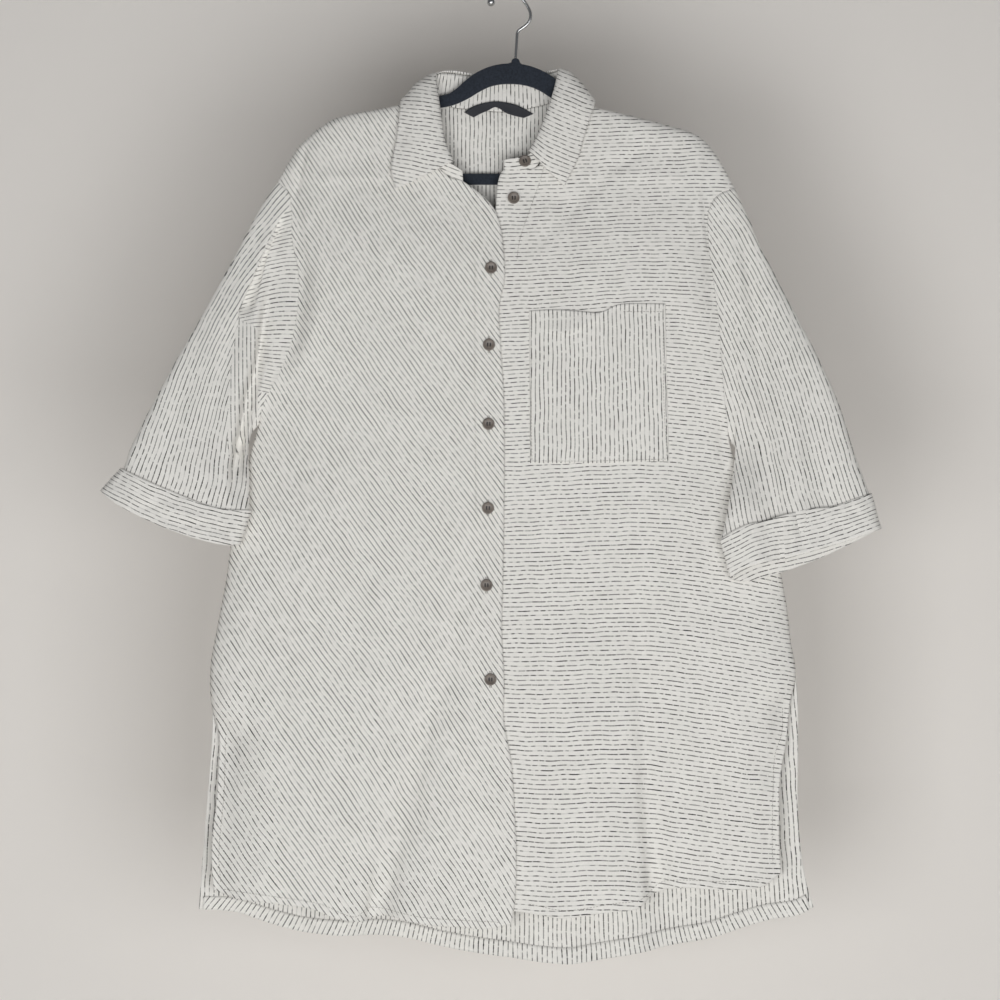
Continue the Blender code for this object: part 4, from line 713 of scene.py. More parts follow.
def back_top(across, kind, shares):
    """Top edge of the back at a share across, and its depth."""
    if across <= shares[0]:
        return RIGHT["shoulder"](1.0 - across / shares[0]), 0.0
    if across >= shares[1]:
        return LEFT["shoulder"]((across - shares[1]) / (1.0 - shares[1])), 0.0
    right_x = RIGHT["shoulder"](1.0)[0]
    wanted = mix(right_x, LEFT["shoulder"](1.0)[0], across)
    low, high = NECK_RIGHT_POINT, NECK_LEFT_POINT
    for _ in range(HALVINGS):
        half = (low + high) / 2.0
        if neck_at(half)[0][0] < wanted:
            low = half
        else:
            high = half
    edge_point = below_stand(low)
    return edge_point[[0, 2]], edge_point[1]


def turn_in(sideways):
    """In the seam's plane, square to an edge that runs this way in x and drop."""
    x, drop = unit(sideways)
    return np.array((-drop, 0.0, x)) if x > 0.0 else np.array((drop, 0.0, -x))


def ridge_rims(rows, columns):
    """Along a shoulder seam both cloths' inner edges lie straight below the ridge."""
    rims = {}
    for i in columns:
        before, after = rows[0][max(i - 1, columns[0])], rows[0][min(i + 1, columns[-1])]
        rims[(0, i)] = turn_in((after - before)[[0, 2]])
    return rims


def side_rims(side, face, column):
    """Inner edges down a panel's side, square to its armhole or in its seam's plane."""
    rims = {(k, column): armhole_inward(side, face, k) for k in range(len(RING))}
    underarm = len(RING) - 1
    inwards = np.array((-side["sign"], 0.0, 0.0))
    rims[(underarm, column)] = unit(rims[(underarm, column)] + inwards)
    for k in range(len(SIDE_PLACES)):
        rims[(underarm + 1 + k, column)] = inwards
    return rims


def under_stand_rims(rims, normals, places):
    """Turn the inner edges along the neck away from the stand."""
    for key, place in places:
        rise, _, _ = neck_frame(place)
        inward = -normals[key]
        lift = float(np.dot(inward, rise)) + STAND_CLEAR_SHARE
        if lift > 0.0:
            inward = unit(inward - rise * lift)
        rims[key] = inward


# ---------------------------------------------------------------- sleeves and cuffs
def patch(top, under, start, end, down, across):
    """A point inside four edges, each an array function of its own share."""
    rows = mix(start(across), end(across), down)
    sides = mix(top(down), under(down), across)
    corners = mix(mix(start(0.0), start(1.0), across), mix(end(0.0), end(1.0), across), down)
    return rows + sides - corners


def tuck_depth(down, across):
    """Depth of the right sleeve's tuck: a sharp step that runs out towards the body."""
    line, depth = table_at(RIGHT_SLEEVE_TUCK, down)
    off = across - line
    if off <= 0.0:
        return 0.0
    return depth * ease(off / TUCK_STEP) * (1.0 - ease((off - TUCK_STEP) / TUCK_RUN_OUT))


def sleeve_places(side):
    """Shares across a sleeve's front and back layers at a share down it."""
    if side is LEFT:
        return lambda down: [place for place, _ in RING]

    def at(down):
        line, _ = table_at(RIGHT_SLEEVE_TUCK, down)
        return [place for place, _ in RING] if down == 0.0 else tucked_places(line, down)

    return at


def tucked_places(line, down):
    """Ring places drawn towards the tuck, so that its step has points of its own."""
    foot = line + TUCK_STEP
    wanted = [0.0, 0.0, 0.006, 0.02, 0.05, line * 0.5, line - TUCK_LEAD, foot]
    wanted += [mix(foot, 1.0, share) for share in PAST_TUCK]
    pull = ease(down / RIGHT_SLEEVE_TUCK[1][0])
    places = []
    for (place, _), goal in zip(RING, wanted):
        places.append(mix(place, goal, pull))
    return places


def sleeve_depth(side, face, down, across, share, start_depth, drop):
    """Depth of a sleeve's layer: from the armhole's to the flat hanging sleeve's."""
    outer, inner, front_half, back_half = side["cuff_depths"]
    middle = mix(outer, inner, across)
    half = front_half if face < 0 else back_half
    end_depth = middle + face * half * share
    level = ease((drop - side["side"](0.0)[1] + UNDERARM_LEAD) / UNDERARM_TURN)
    blend_from, blend_over = SWING_ACROSS
    turn = mix(ease(down * SWING_PACE), level, ease((across - blend_from) / blend_over))
    depth = mix(start_depth, end_depth, turn)
    if face < 0 and side is RIGHT:
        depth += tuck_depth(down, across)
    if face < 0 and side is LEFT:
        for line, width, valley in LEFT_SLEEVE_VALLEYS:
            off = (across - line) / width
            depth += valley * math.exp(-off * off) * ease(down / VALLEY_START)
    return depth


def layer_row(side, face, down, cuff):
    """One layer of a sleeve's ring, from its top edge to its under edge."""
    row = []
    end = side["cuff_end_front"] if face < 0 else side["cuff_end_back"]
    places = sleeve_places(side)(1.0 if cuff else down)
    for (ring_place, share), place in zip(RING, places):
        start = armhole_point(side, face, ring_place, share, 1)
        if cuff:
            start_at, end_at = side["cuff_top"], end
            point = mix(start_at(place), end_at(place), down)
            depth = sleeve_depth(side, face, 1.0, place, share, start[1], point[1])
        elif down == 0.0:
            row.append(start)
            continue
        else:
            def armhole_xz(at_share):
                at = armhole_point(side, face, at_share, 1.0, 1)
                return np.array((at[0], at[2]))
            point = patch(side["sleeve_top"], side["sleeve_under"], armhole_xz,
                          side["cuff_top"], down, place)
            _, outward = armhole_frame(side, place)
            point = point + outward * SLEEVE_CLEAR * (1.0 - down) ** 3 * ease(place * SLEEVE_CLEAR_PACE)
            seam = armhole_point(side, face, place, share, 1)
            depth = sleeve_depth(side, face, down, place, share, seam[1], point[1])
        row.append(np.array((point[0], depth, point[1])))
    return row


def sleeve_ring(side, down, cuff=False):
    """One closed ring round the arm: down the front, back up behind."""
    front = layer_row(side, -1, down, cuff)
    back = layer_row(side, 1, down, cuff)
    return front + back[-2:0:-1]


def sleeve_rings(side):
    rings = [sleeve_ring(side, down) for down in SLEEVE_ROWS]
    rings += [sleeve_ring(side, down, True) for down in CUFF_ROWS]
    return rings


# ---------------------------------------------------------------- collar
def neck_stations():
    """Places round the neck that the stand shares with the panels' edges."""
    shares = sorted(set(NECK_PLACES))
    right = [mix(NECK_RIGHT_POINT, 0.0, share) for share in reversed(shares)]
    left = [mix(NECK_LEFT_POINT, NECK_LAST, share) for share in shares]
    return right + list(BACK_NECK_PLACES) + left


def stand_rows():
    rows = []
    for place in neck_stations():
        seam, roll_line, _ = neck_at(place)
        rows.append([mix(seam, roll_line, share) for share in STAND_SHARES])
    return rows


def leaf_rows():
    """The leaf turns over the stand's top edge and falls to its own edge."""
    rows = []
    for place in neck_stations()[1:-1]:
        _, roll_line, edge = neck_at(place)
        _, outward, lift = neck_frame(place)
        first = roll_line + lift * (COLLAR_WALL + LEAF_GAP) - outward * COLLAR_WALL
        over = first + outward * LEAF_OVER[0] + lift * LEAF_OVER[1]
        fall = mix(roll_line, edge, LEAF_FALL[0]) + outward * LEAF_FALL[1]
        rows.append([bezier(first, over, fall, edge, share) for share in LEAF_SHARES])
    return rows


def world(point):
    x, depth, drop = point
    return (x * 0.001, depth * 0.001, -drop * 0.001)


def grid_normals(rows, outward, closed=False):
    """Unit normals of a grid of points, and how far to stretch an offset at creases."""
    grid = np.array(rows)
    sums = np.zeros_like(grid)
    counts = np.zeros(grid.shape[:2])
    high, wide = counts.shape
    for k in range(high - 1):
        for i in range(wide if closed else wide - 1):
            j = (i + 1) % wide
            normal = np.cross(grid[k + 1, j] - grid[k, i], grid[k + 1, i] - grid[k, j])
            size = np.linalg.norm(normal)
            if size < 1e-9:
                continue
            for key in ((k, i), (k, j), (k + 1, j), (k + 1, i)):
                sums[key] += normal / size
                counts[key] += 1.0
    lengths = np.linalg.norm(sums, axis=2)
    stretch = np.minimum(EVEN_LIMIT, counts / lengths)
    normals = sums / lengths[:, :, None]
    facing = sum(np.dot(normals[key], outward(grid[key])) for key in np.ndindex(high, wide))
    return normals * (1.0 if facing > 0.0 else -1.0), stretch


def inner_side(rows, normals, stretch, wall, rims):
    """The grid's other face, a wall's thickness in; rims give directions of their own."""
    inner = np.array(rows) - normals * (stretch * wall)[:, :, None]
    for key, inward in rims.items():
        inner[key] = np.array(rows[key[0]][key[1]]) + inward * wall
    return inner


def towards(x, depth, drop):
    return lambda point: np.array((x, depth, drop))


def out_of_ring(rings):
    """Outward from the middle line of a tube of rings."""
    centres = [sum(ring) / len(ring) for ring in rings]

    def direction(point):
        nearest = min(centres, key=lambda middle: float(np.linalg.norm(middle - point)))
        return point - nearest

    return direction


def out_of_neck(point):
    return np.array((point[0] - NECK_MIDDLE, point[1], 0.0))


def between(top_edge, foot_edge, columns, row_count, depth):
    """Rows of points between two edges, at one depth."""
    top, foot = along(top_edge), along(foot_edge)
    rows = []
    for k in range(row_count + 1):
        row = []
        for i in range(columns + 1):
            x, drop = mix(top(i / columns), foot(i / columns), k / row_count)
            row.append(np.array((x, depth, drop)))
        rows.append(row)
    return rows


def surface_depth(rows, x, drop):
    """Depth of a panel's faceted outer surface at a place seen from the front."""
    for upper, lower in zip(rows, rows[1:]):
        for i in range(len(upper) - 1):
            for corners in ((upper[i], upper[i + 1], lower[i + 1]),
                            (upper[i], lower[i + 1], lower[i])):
                (ax, _, az), (bx, _, bz), (cx, _, cz) = corners
                area = (bx - ax) * (cz - az) - (cx - ax) * (bz - az)
                if abs(area) < 1e-6:
                    continue
                second = ((x - ax) * (cz - az) - (cx - ax) * (drop - az)) / area
                third = ((bx - ax) * (drop - az) - (x - ax) * (bz - az)) / area
                if min(second, third, 1.0 - second - third) >= -1e-6:
                    depths = [corner[1] for corner in corners]
                    return depths[0] * (1.0 - second - third) + depths[1] * second + depths[2] * third
    raise ValueError("no surface at x %.1f drop %.1f" % (x, drop))


def arm_edge(column):
    """A smooth edge of the arms, from the right tip to the left."""
    edge = along([(row[0], row[column]) for row in HANGER_ARMS])
    return [edge(step / ARM_STEPS) for step in range(ARM_STEPS + 1)]


def hanger_loops():
    """Outer outline of the hanger, and the gap between its arms and its bar."""
    nub_x, nub_drop, nub_radius = NUB
    boss = []
    for step in range(NUB_STEPS + 1):
        angle = math.pi * (1.0 - step / NUB_STEPS)
        boss.append((nub_x + nub_radius * math.cos(angle), nub_drop - nub_radius * math.sin(angle)))
    top = arm_edge(1)
    outer = [point for point in top if point[0] < nub_x - nub_radius] + boss
    outer += [point for point in top if point[0] > nub_x + nub_radius]
    outer += list(LEFT_TIP) + list(reversed(RIGHT_TIP))
    inner = arm_edge(2) + list(LEFT_GAP_END) + list(reversed(RIGHT_GAP_END))
    return outer, inner


def hook_sections():
    """Places along the hook and how thick it is there, in wire radii."""
    line = along(HOOK_LINE)
    start = line(0.0)
    ahead = unit(line(1.0 / HOOK_STEPS) - start)
    sections = []
    for place, radius in BALL_RINGS:
        middle = start + ahead * place * HOOK_BALL_RADIUS
        sections.append((middle, radius * HOOK_BALL_RADIUS / HOOK_RADIUS))
    for step in range(1, HOOK_STEPS + 1):
        middle = line(step / HOOK_STEPS)
        if np.linalg.norm(middle - start) > HOOK_BALL_RADIUS:
            sections.append((middle, 1.0))
    return sections


# ---------------------------------------------------------------- looks, tables
CLOTH_STEP = 3.4        # the cloth's grids are refined to this
TUCKED_STEP = 1.9       # and the right sleeve's to this, for its sharp tuck
STRIPE_PITCH = 4.4      # dark yarns this far apart in the loom
STRIPE_FIT = 15.0       # cell of the grid on which the stripes are laid out
# Where the cloth hangs looser the stripes lie wider: drop, pitch.
PITCHES = ((150, 4.0), (250, 4.08), (400, 4.2), (500, 4.32), (600, 4.5), (700, 4.65), (860, 4.82))
LEAF_RISE = 1.2         # the leaf's bulge between its roll and its edge

# Direction of the stripes in degrees from level, down to the wearer's left, by x and drop.
STRIPE_SLOPES = {
    "front_right": ((-290, -237, -187, -137, -87, -37), (
        (150, 48, 50, 56, 57, 55, 54),
        (191, 50, 58, 58, 57, 55, 54),
        (291, 59, 59, 60, 54, 53, 56),
        (441, 58, 59, 57, 55, 52, 54),
        (541, 57, 57, 57, 53, 52, 60),
        (641, 55, 54, 52, 52, 58, 60),
        (741, 55, 52, 53, 55, 60, 59),
        (791, 55, 54, 53, 58, 60, 57),
        (841, 52, 53, 52, 56, 55, 59),
        (891, 52, 51, 53, 57, 56, 60),
    )),
    "front_left": ((13, 63, 113, 163, 213, 263), (
        (141, 0, -5, -5, -7, -7, -7),
        (191, 0, -4, -1, -3, 0, 0),
        (291, -3, -4, -4, 5, 8, 8),
        (341, -2, -3, -2, 9, 12, 12),
        (441, -3, -3, -1, 6, 11, 12),
        (591, -2, -2, -2, 6, 10, 12),
        (741, 3, -3, 1, 8, 9, 10),
        (891, 6, -4, 4, 9, 6, 3),
    )),
    "back_panel": ((-300, -200, 0, 150, 300), ((100, 88, 90, 90, 90, 92), (900, 94, 92, 90, 88, 86))),
    "back_hem_facing": ((-250, -187, -137, -37, 63, 163, 213, 263), (
        (900, 128, 115, 109, 93, 87, 82, 60, 55),
        (960, 128, 115, 109, 93, 87, 82, 60, 55),
    )),
    "chest_pocket": ((18, 88, 158), ((311, 91, 89, 88), (470, 91, 89, 88))),
    "sleeve_right": ((-390, -337, -311, -297, -281, -262, -240), (
        (197, 118, 118, 118, 120, 124, 128, 130),
        (237, 118, 118, 118, 120, 126, 133, 136),
        (277, 118, 118, 118, 120, 128, 134, 136),
        (317, 117, 118, 119, 121, 126, 128, 128),
        (367, 117, 117, 117, 118, 119, 120, 120),
        (437, 119, 118, 113, 108, 100, 88, 80),
        (477, 119, 115, 104, 96, 92, 82, 74),
        (510, 120, 117, 112, 108, 104, 98, 92),
    )),
    "sleeve_left": ((195, 213, 235, 263, 313, 358), (
        (190, 45, 45, 45, 45, 45, 45),
        (241, 60, 62, 63, 62, 63, 63),
        (341, 66, 68, 68, 66, 64, 63),
        (441, 84, 80, 76, 76, 73, 70),
        (500, 95, 84, 77, 76, 70, 66),
    )),
    "cuff_right": ((-400, -337, -287, -250), ((480, 30, 21, 14, 4), (560, 30, 17, 11, 3))),
    "cuff_left": ((213, 243, 263, 313, 363), (
        (500, 150, 160, 178, 168, 162),
        (590, 150, 158, 170, 160, 155),
    )),
    "leaf_right": ((-116, -100, -80, -50), ((90, 0, 2, 6, 12), (140, 2, 6, 6, 14), (190, 24, 16, 14, 20))),
    "leaf_left": ((25, 40, 60, 84), ((80, 42, 30, 16, 12), (130, 46, 26, 12, 8), (190, 44, 28, 24, 22))),
    "stand_ends": ((-75, 20), ((155, 30, -10), (190, 30, -10))),
    "tuck_upper": ((-268, -253, -239, -226, -214), (
        (222, 150, 150, 150, 150, 152),
        (247, 145, 148, 150, 160, 168),
        (267, 138, 140, 152, 170, 178),
        (287, 128, 136, 158, 173, 179),
        (307, 134, 152, 166, 176, 180),
        (318, 152, 166, 176, 180, 182),
        (330, 202, 190, 185, 183, 182),
        (347, 202, 199, 192, 190, 192),
        (377, 205, 204, 200, 196, 195),
        (402, 206, 202, 198, 200, 206),
    )),
    "tuck_shadow": ((-285, -253), ((330, 90, 90), (430, 90, 88), (470, 84, 78))),
    "tuck_under": ((-268, -245), ((390, 130, 130), (450, 128, 126))),
}
# Creases beyond the broad folds: line of corners (x, drop), reach to its left and right, and
# height at its start and end. A crease that goes in has a negative height.
CREASES = {
    "front_right": (
        (((-37, 522), (-43, 553), (-53, 617), (-62, 678), (-91, 752), (-106, 807), (-116, 857),
          (-136, 922)), 8.0, 13.0, -1.6, -6.0),
        (((-186, 207), (-183, 300), (-183, 427)), 10.0, 10.0, -2.0, -1.2),
        (((-126, 852), (-133, 872), (-141, 922)), 4.0, 6.0, -1.0, -4.0),
        (((-206, 186), (-150, 184), (-90, 182)), 5.0, 7.0, 1.4, 0.8),
        (((-207, 150), (-208, 167), (-212, 186), (-217, 207)), 3.0, 3.5, -2.6, -2.0),
        (((-205, 214), (-204, 240), (-199, 285)), 3.0, 3.0, 1.1, 0.7),
        (((-215, 560), (-232, 700), (-240, 880)), 22.0, 26.0, 0.6, 3.0),
        (((-175, 600), (-180, 760), (-196, 890)), 16.0, 20.0, -0.6, -2.6),
    ),
    "front_left": (
        (((128, 567), (131, 700), (136, 800), (146, 912)), 9.0, 13.0, -1.6, -8.0),
        (((170, 596), (185, 700), (200, 800), (203, 877)), 10.0, 10.0, -1.2, -4.0),
        (((149, 307), (180, 350), (209, 407)), 15.0, 15.0, -1.6, -1.2),
        (((7, 266), (55, 226), (103, 174), (133, 159)), 6.0, 8.0, -1.2, -1.4),
        (((186, 141), (189, 167), (187, 207), (189, 232), (193, 252), (199, 272)), 5.0, 5.0, 2.2, 1.6),
        (((60, 182), (110, 182), (170, 184)), 5.0, 7.0, 0.8, 1.2),
        (((207, 410), (211, 437), (213, 490)), 4.0, 4.0, -1.8, -1.2),
        (((60, 620), (56, 760), (52, 915)), 22.0, 26.0, 0.4, 2.4),
    ),
    "back_panel": (
        (((100, 820), (118, 900), (127, 975)), 15.0, 19.0, -1.0, -6.0),
        (((-160, 830), (-172, 955)), 16.0, 20.0, -1.0, -5.0),
        (((-40, 840), (-48, 968)), 20.0, 20.0, 1.0, 4.0),
    ),
    "sleeve_left": (
        (((190, 205), (200, 300), (211, 398), (215, 480)), 6.0, 8.0, -1.5, -2.5),
        (((232, 228), (246, 330), (255, 439), (266, 532)), 8.0, 12.0, -4.0, -6.0),
        (((222, 235), (228, 330), (232, 430)), 7.0, 7.0, 1.8, 1.2),
        (((292, 365), (304, 440), (318, 520)), 14.0, 16.0, -1.2, -3.2),
        (((272, 300), (280, 420), (290, 528)), 9.0, 9.0, 1.0, 2.6),
    ),
    "sleeve_right": (
        (((-285, 245), (-318, 318), (-350, 400), (-372, 470)), 8.0, 9.0, 1.6, 0.8),
        (((-262, 240), (-305, 330), (-330, 420), (-345, 480)), 10.0, 12.0, -1.6, -1.6),
        (((-297, 395), (-300, 440), (-296, 500)), 8.0, 9.0, -1.8, -1.6),
        (((-318, 400), (-320, 450), (-312, 498)), 8.0, 8.0, 1.4, 1.2),
        (((-272, 440), (-272, 470), (-268, 512)), 5.0, 6.0, -2.6, -1.2),
    ),
    "cuff_right": (
        (((-376, 513), (-351, 515), (-344, 527), (-331, 532), (-313, 532), (-300, 531)),
         3.0, 4.0, -1.6, -1.4),
        (((-360, 507), (-340, 516), (-322, 522), (-296, 526)), 3.5, 3.5, 1.4, 1.0),
        (((-292, 530), (-283, 540), (-272, 552)), 2.5, 3.0, -1.6, -1.4),
        (((-300, 540), (-285, 548), (-276, 552)), 2.5, 3.0, 1.2, 1.0),
    ),
    "cuff_left": (
        (((267, 518), (268, 540), (270, 570)), 4.0, 7.0, -3.0, -3.2),
        (((286, 512), (290, 540), (291, 562)), 5.0, 5.0, -2.2, -2.0),
        (((278, 520), (279, 545), (280, 565)), 3.5, 3.5, 1.2, 1.4),
        (((311, 520), (327, 514), (343, 506)), 2.5, 4.0, -1.6, -1.4),
        (((322, 540), (329, 526), (345, 514)), 5.0, 6.0, -1.6, -1.2),
    ),
    "chest_pocket": (
        (((30, 336), (52, 342), (68, 336), (84, 328), (92, 319)), 1.1, 14.0, 2.2, 2.2),
    ),
}
# The right sleeve's deep tuck, x and drop: the edge of its outer part, and its underlap.
TUCK_EDGE = (
    (-228, 222), (-235, 232), (-241, 247), (-249, 262), (-255, 277), (-261, 292), (-268, 307),
    (-272, 317), (-272, 327), (-275, 342), (-278, 357), (-280, 377), (-282, 407), (-282, 437),
    (-284, 462),
)
# Above the lip a hollow runs down beside the edge: the drop where it opens and the one where it
# closes, each with the reach of its ease, then its depth and its width.
HOLLOW_OPENS, HOLLOW_CLOSES = (218.0, 22.0), (326.0, 16.0)
TUCK_DEEP, HOLLOW_WIDTH = 6.0, 20.0
# The outer part stands up to its edge: height, width, the drop where that ends and its reach.
TUCK_STAND, TUCK_STAND_WIDTH, TUCK_STAND_ENDS = 2.2, 7.0, (340.0, 30.0)
# Stripes beside the edge: the turned ones lie between these drops, the underlap's below them,
# and the shadowed pleat below the lip and outside this x.
TURNED_DROPS, UNDERLAP_FOOT = (216.0, 400.0), 456.0
TUCK_LIP = ((-272, 326), (-261, 331), (-253, 336))
PLEAT_DROPS, PLEAT_SIDE_X = (322.0, 462.0), -253.0
STAND_END_DROP = 156.0   # below this the stand's ends turn out, with stripes of their own
# Rows of stitching on each piece, as corners in x and drop.
SEWN = {
    "front_right": (
        ((-36, 267), (-36, 400), (-35, 522)),
        ((-287, 896), (-236, 902), (-191, 909), (-156, 923), (-141, 914), (-86, 923), (-11, 928)),
        ((-286, 745), (-287, 800), (-292, 860), (-290, 890)),
    ),
    "front_left": (
        ((33, 174), (29, 188), (24, 202), (19, 216), (14, 230), (8, 250), (6, 267)),
        ((18, 910), (54, 916), (104, 909), (129, 906), (154, 888), (209, 888), (249, 886)),
        ((272, 715), (271, 740), (264, 762), (262, 800), (261, 850), (262, 872)),
    ),
    "chest_pocket": (
        ((20, 322), (20, 400), (21, 468)), ((21, 468), (88, 468), (156, 466)),
        ((156, 466), (152.5, 400), (152, 315)), ((112, 319), (152, 319)),
    ),
}
STITCH, STITCH_GAP, THREAD = 2.1, 1.1, 0.42  # lengths along the row, and the thread's width
# An upright buttonhole: its length, the rows of thread down it, the thread's width, and where
# each row's two threads lie.
BUTTONHOLE, BUTTONHOLE_ROWS, BUTTONHOLE_THREAD = 16.0, 22, 0.62
BUTTONHOLE_SIDES = ((-1.15, -0.25), (0.25, 1.15))
# The collar's button faces up, because the stand's end falls back, and leans to one side. It
# stands off the cloth by as much as its upper rim goes back.
COLLAR_BUTTON_TILT, COLLAR_BUTTON_SWING, COLLAR_BUTTON_LIFT = 0.35, -0.3, 2.1

COTTON_LIGHT, COTTON_DARK = "#F6F4EF", "#EAE8E3"
WALL_COLOUR, FLOOR_COLOUR, SKY_COLOUR = "#EFEBE6", "#DAD8D3", "#F0F1F4"
SKY_STRENGTH = 0.17
# The room, in metres: plane and corners of the wall, height and half width of the floor.
WALL_Y, WALL_HALF, WALL_FOOT, WALL_TOP = 0.30, 4, -2.6, 2.4
FLOOR_Z, FLOOR_HALF = -2.4, 6
# The camera's lens shows a picture one metre wide on a plane at this distance and y.
SENSOR, CAMERA_DISTANCE, CAMERA_PLANE = 36.0, 4.5, -0.012
CAMERA_X, CAMERA_Z = -0.011, -0.507
# Lamps: name, place, what it points at, size in metres, power in watts.
LAMPS = (
    ("window", (-0.9, -3.3, -1.3), (0, 0, -0.6), 1.5, 40.0),
    ("room", (1.1, -3.5, -1.3), (0, 0, -0.6), 2.0, 46.0),
    ("behind", (0.6, 2.4, 0.4), (0, 0, -0.5), 2.0, 30.0),
)


# ---------------------------------------------------------------- finer cloth from the same shapes
def spread(points, distances, cuts, closed):
    """Smooth curves through the first axis of an array, with so many steps in each gap."""
    count = len(points)
    if closed:
        points = np.concatenate((points[-1:], points, points[:2]))
        distances = np.concatenate((distances[-1:], distances, distances[:1]))
        first, gaps = 1, count
    else:
        first, gaps = 0, count - 1
    steps = distances.reshape((-1,) + (1,) * (points.ndim - 1))
    slopes = (points[1:] - points[:-1]) / steps[: len(points) - 1]
    tangents = np.empty_like(points)
    tangents[0], tangents[-1] = slopes[0], slopes[-1]
    before, after = steps[: len(slopes) - 1], steps[1 : len(slopes)]
    tangents[1:-1] = (slopes[:-1] * after + slopes[1:] * before) / (before + after)
    out = []
    for i in range(first, first + gaps):
        step = float(distances[i])
        for cut in range(cuts[i - first]):
            share = cut / cuts[i - first]
            out.append(hermite(points[i], points[i + 1], tangents[i] * step,
                               tangents[i + 1] * step, share))
    if not closed:
        out.append(points[-1])
    return np.array(out)


def finer(layers, step, closed=False):
    """Grids that share one layout, refined alike so that no gap is wider than the step."""
    grid = np.concatenate([np.array(layer, dtype=float) for layer in layers], axis=2)
    for axis in (0, 1):
        grid = np.swapaxes(grid, 0, axis)
        ring = closed and axis == 1
        ahead = np.roll(grid, -1, axis=0) if ring else grid[1:]
        here = grid if ring else grid[:-1]
        gaps = np.linalg.norm((ahead - here)[..., :3], axis=2)
        cuts = np.maximum(1, np.ceil(np.percentile(gaps, 80, axis=1) / step)).astype(int)
        grid = spread(grid, np.maximum(gaps.mean(axis=1), 0.05), cuts, ring)
        grid = np.swapaxes(grid, 0, axis)
    widths = np.cumsum([0] + [np.array(layer).shape[2] for layer in layers])
    return [grid[..., a:b] for a, b in zip(widths, widths[1:])]


def cloth(name, outer, inner, lays, finishes, pick=None, closed=False):
    """A piece of cloth, a closed wall between two grids, in place of the CAD node of its name.

    lays are the layouts of the stripes; pick(centres) says which one each face follows. The
    map "cut" holds each corner's stripe number and run.
    """
    high, wide = outer.shape[:2]
    count = high * wide
    points = np.concatenate((outer.reshape(-1, 3), inner.reshape(-1, 3)))
    index = np.arange(count).reshape(high, wide)
    right = np.roll(index, -1, axis=1) if closed else index[:, 1:]
    left = index if closed else index[:, :-1]
    quads = np.stack((left[:-1], right[:-1], right[1:], left[1:]), axis=2).reshape(-1, 4)
    faces = [quads, quads[:, ::-1] + count]
    for row in (0, high - 1):
        a, b = left[row], right[row]
        ends = np.stack((a, a + count, b + count, b), axis=1)
        faces.append(ends if row == 0 else ends[:, ::-1])
    if not closed:
        for column in (0, wide - 1):
            a, b = index[:-1, column], index[1:, column]
            sides = np.stack((a, b, b + count, a + count), axis=1)
            faces.append(sides if column == 0 else sides[:, ::-1])
    faces = np.concatenate(faces)
    mesh = bpy.data.meshes.new(name)
    mesh.from_pydata([world(point) for point in points], [], faces.tolist())
    layout = np.array([np.concatenate((lay, lay)) for lay in lays]) * 0.001
    which = pick(points[faces].mean(axis=1)) if pick else np.zeros(len(faces), dtype=int)
    cut = layout[which[:, None], faces]
    mesh.uv_layers.new(name="cut").data.foreach_set("uv", cut.astype("f").ravel())
    shape = bmesh.new()
    shape.from_mesh(mesh)
    bmesh.ops.recalc_face_normals(shape, faces=shape.faces)
    shape.to_mesh(mesh)
    shape.free()
    mesh.shade_smooth()
    show(name + "_piece", mesh, name, [finishes[name]])


def per_point(values, grid):
    """One value for each point of a grid, shaped to scale the point's vector."""
    return values.reshape(grid.shape[:2])[:, :, None]


def placed(name, data):
    """A new object in the scene that holds this data."""
    item = bpy.data.objects.new(name, data)
    bpy.context.scene.collection.objects.link(item)
    return item


def show(name, mesh, node_name, finishes):
    """Puts a piece in the scene in place of its CAD node; finishes are its materials."""
    piece = placed(name, mesh)
    for finish in finishes:
        mesh.materials.append(finish)
    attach(piece, "root")
    if node_name in frame["nodes"] and name == node_name + "_piece":
        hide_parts(node_name)
    return piece


# ---------------------------------------------------------------- folds
def near_line(points, line):
    """Distance from each point to a line of corners, signed by side, and share along it."""
    best = np.full(len(points), 1e9)
    side = np.zeros(len(points))
    share = np.zeros(len(points))
    corners = np.array(line, dtype=float)
    lengths = np.linalg.norm(corners[1:] - corners[:-1], axis=1)
    total, done = lengths.sum(), 0.0
    for a, b, length in zip(corners, corners[1:], lengths):
        run = (b - a) / length
        along_line = np.clip((points - a) @ run, 0.0, length)
        away = points - a - along_line[:, None] * run
        distance = np.linalg.norm(away, axis=1)
        closer = distance < best
        best = np.where(closer, distance, best)
        side = np.where(closer, np.sign(away[:, 0] * run[1] - away[:, 1] * run[0]), side)
        share = np.where(closer, (done + along_line) / total, share)
        done += length
    return best * side, share


def eased(share):
    share = np.clip(share, 0.0, 1.0)
    return share * share * (3.0 - 2.0 * share)


def crease_height(points, creases):
    """Push out of the cloth at each point, from a table of creases."""
    height = np.zeros(len(points))
    for line, width_left, width_right, start, end in creases:
        offset, share = near_line(points, line)
        width = np.where(offset < 0.0, width_left, width_right)
        fade = eased(share * 6.0) * np.maximum(eased((1.0 - share) * 6.0), abs(end) > abs(start))
        height += (start + (end - start) * share) * fade * np.exp(-((offset / width) ** 2))
    return height


def ripple(points, wavelength, seed):
    """Soft random unevenness of about one unit, from a few crossing waves."""
    rng = np.random.default_rng(seed)
    total = np.zeros(len(points))
    for _ in range(9):
        angle, phase = rng.uniform(0, math.pi), rng.uniform(0, 2 * math.pi)
        length = wavelength * rng.uniform(0.7, 1.6)
        wave = (points[:, 0] * math.cos(angle) + points[:, 1] * math.sin(angle)) / length
        total += np.sin(2 * math.pi * wave + phase)
    return total / 4.5


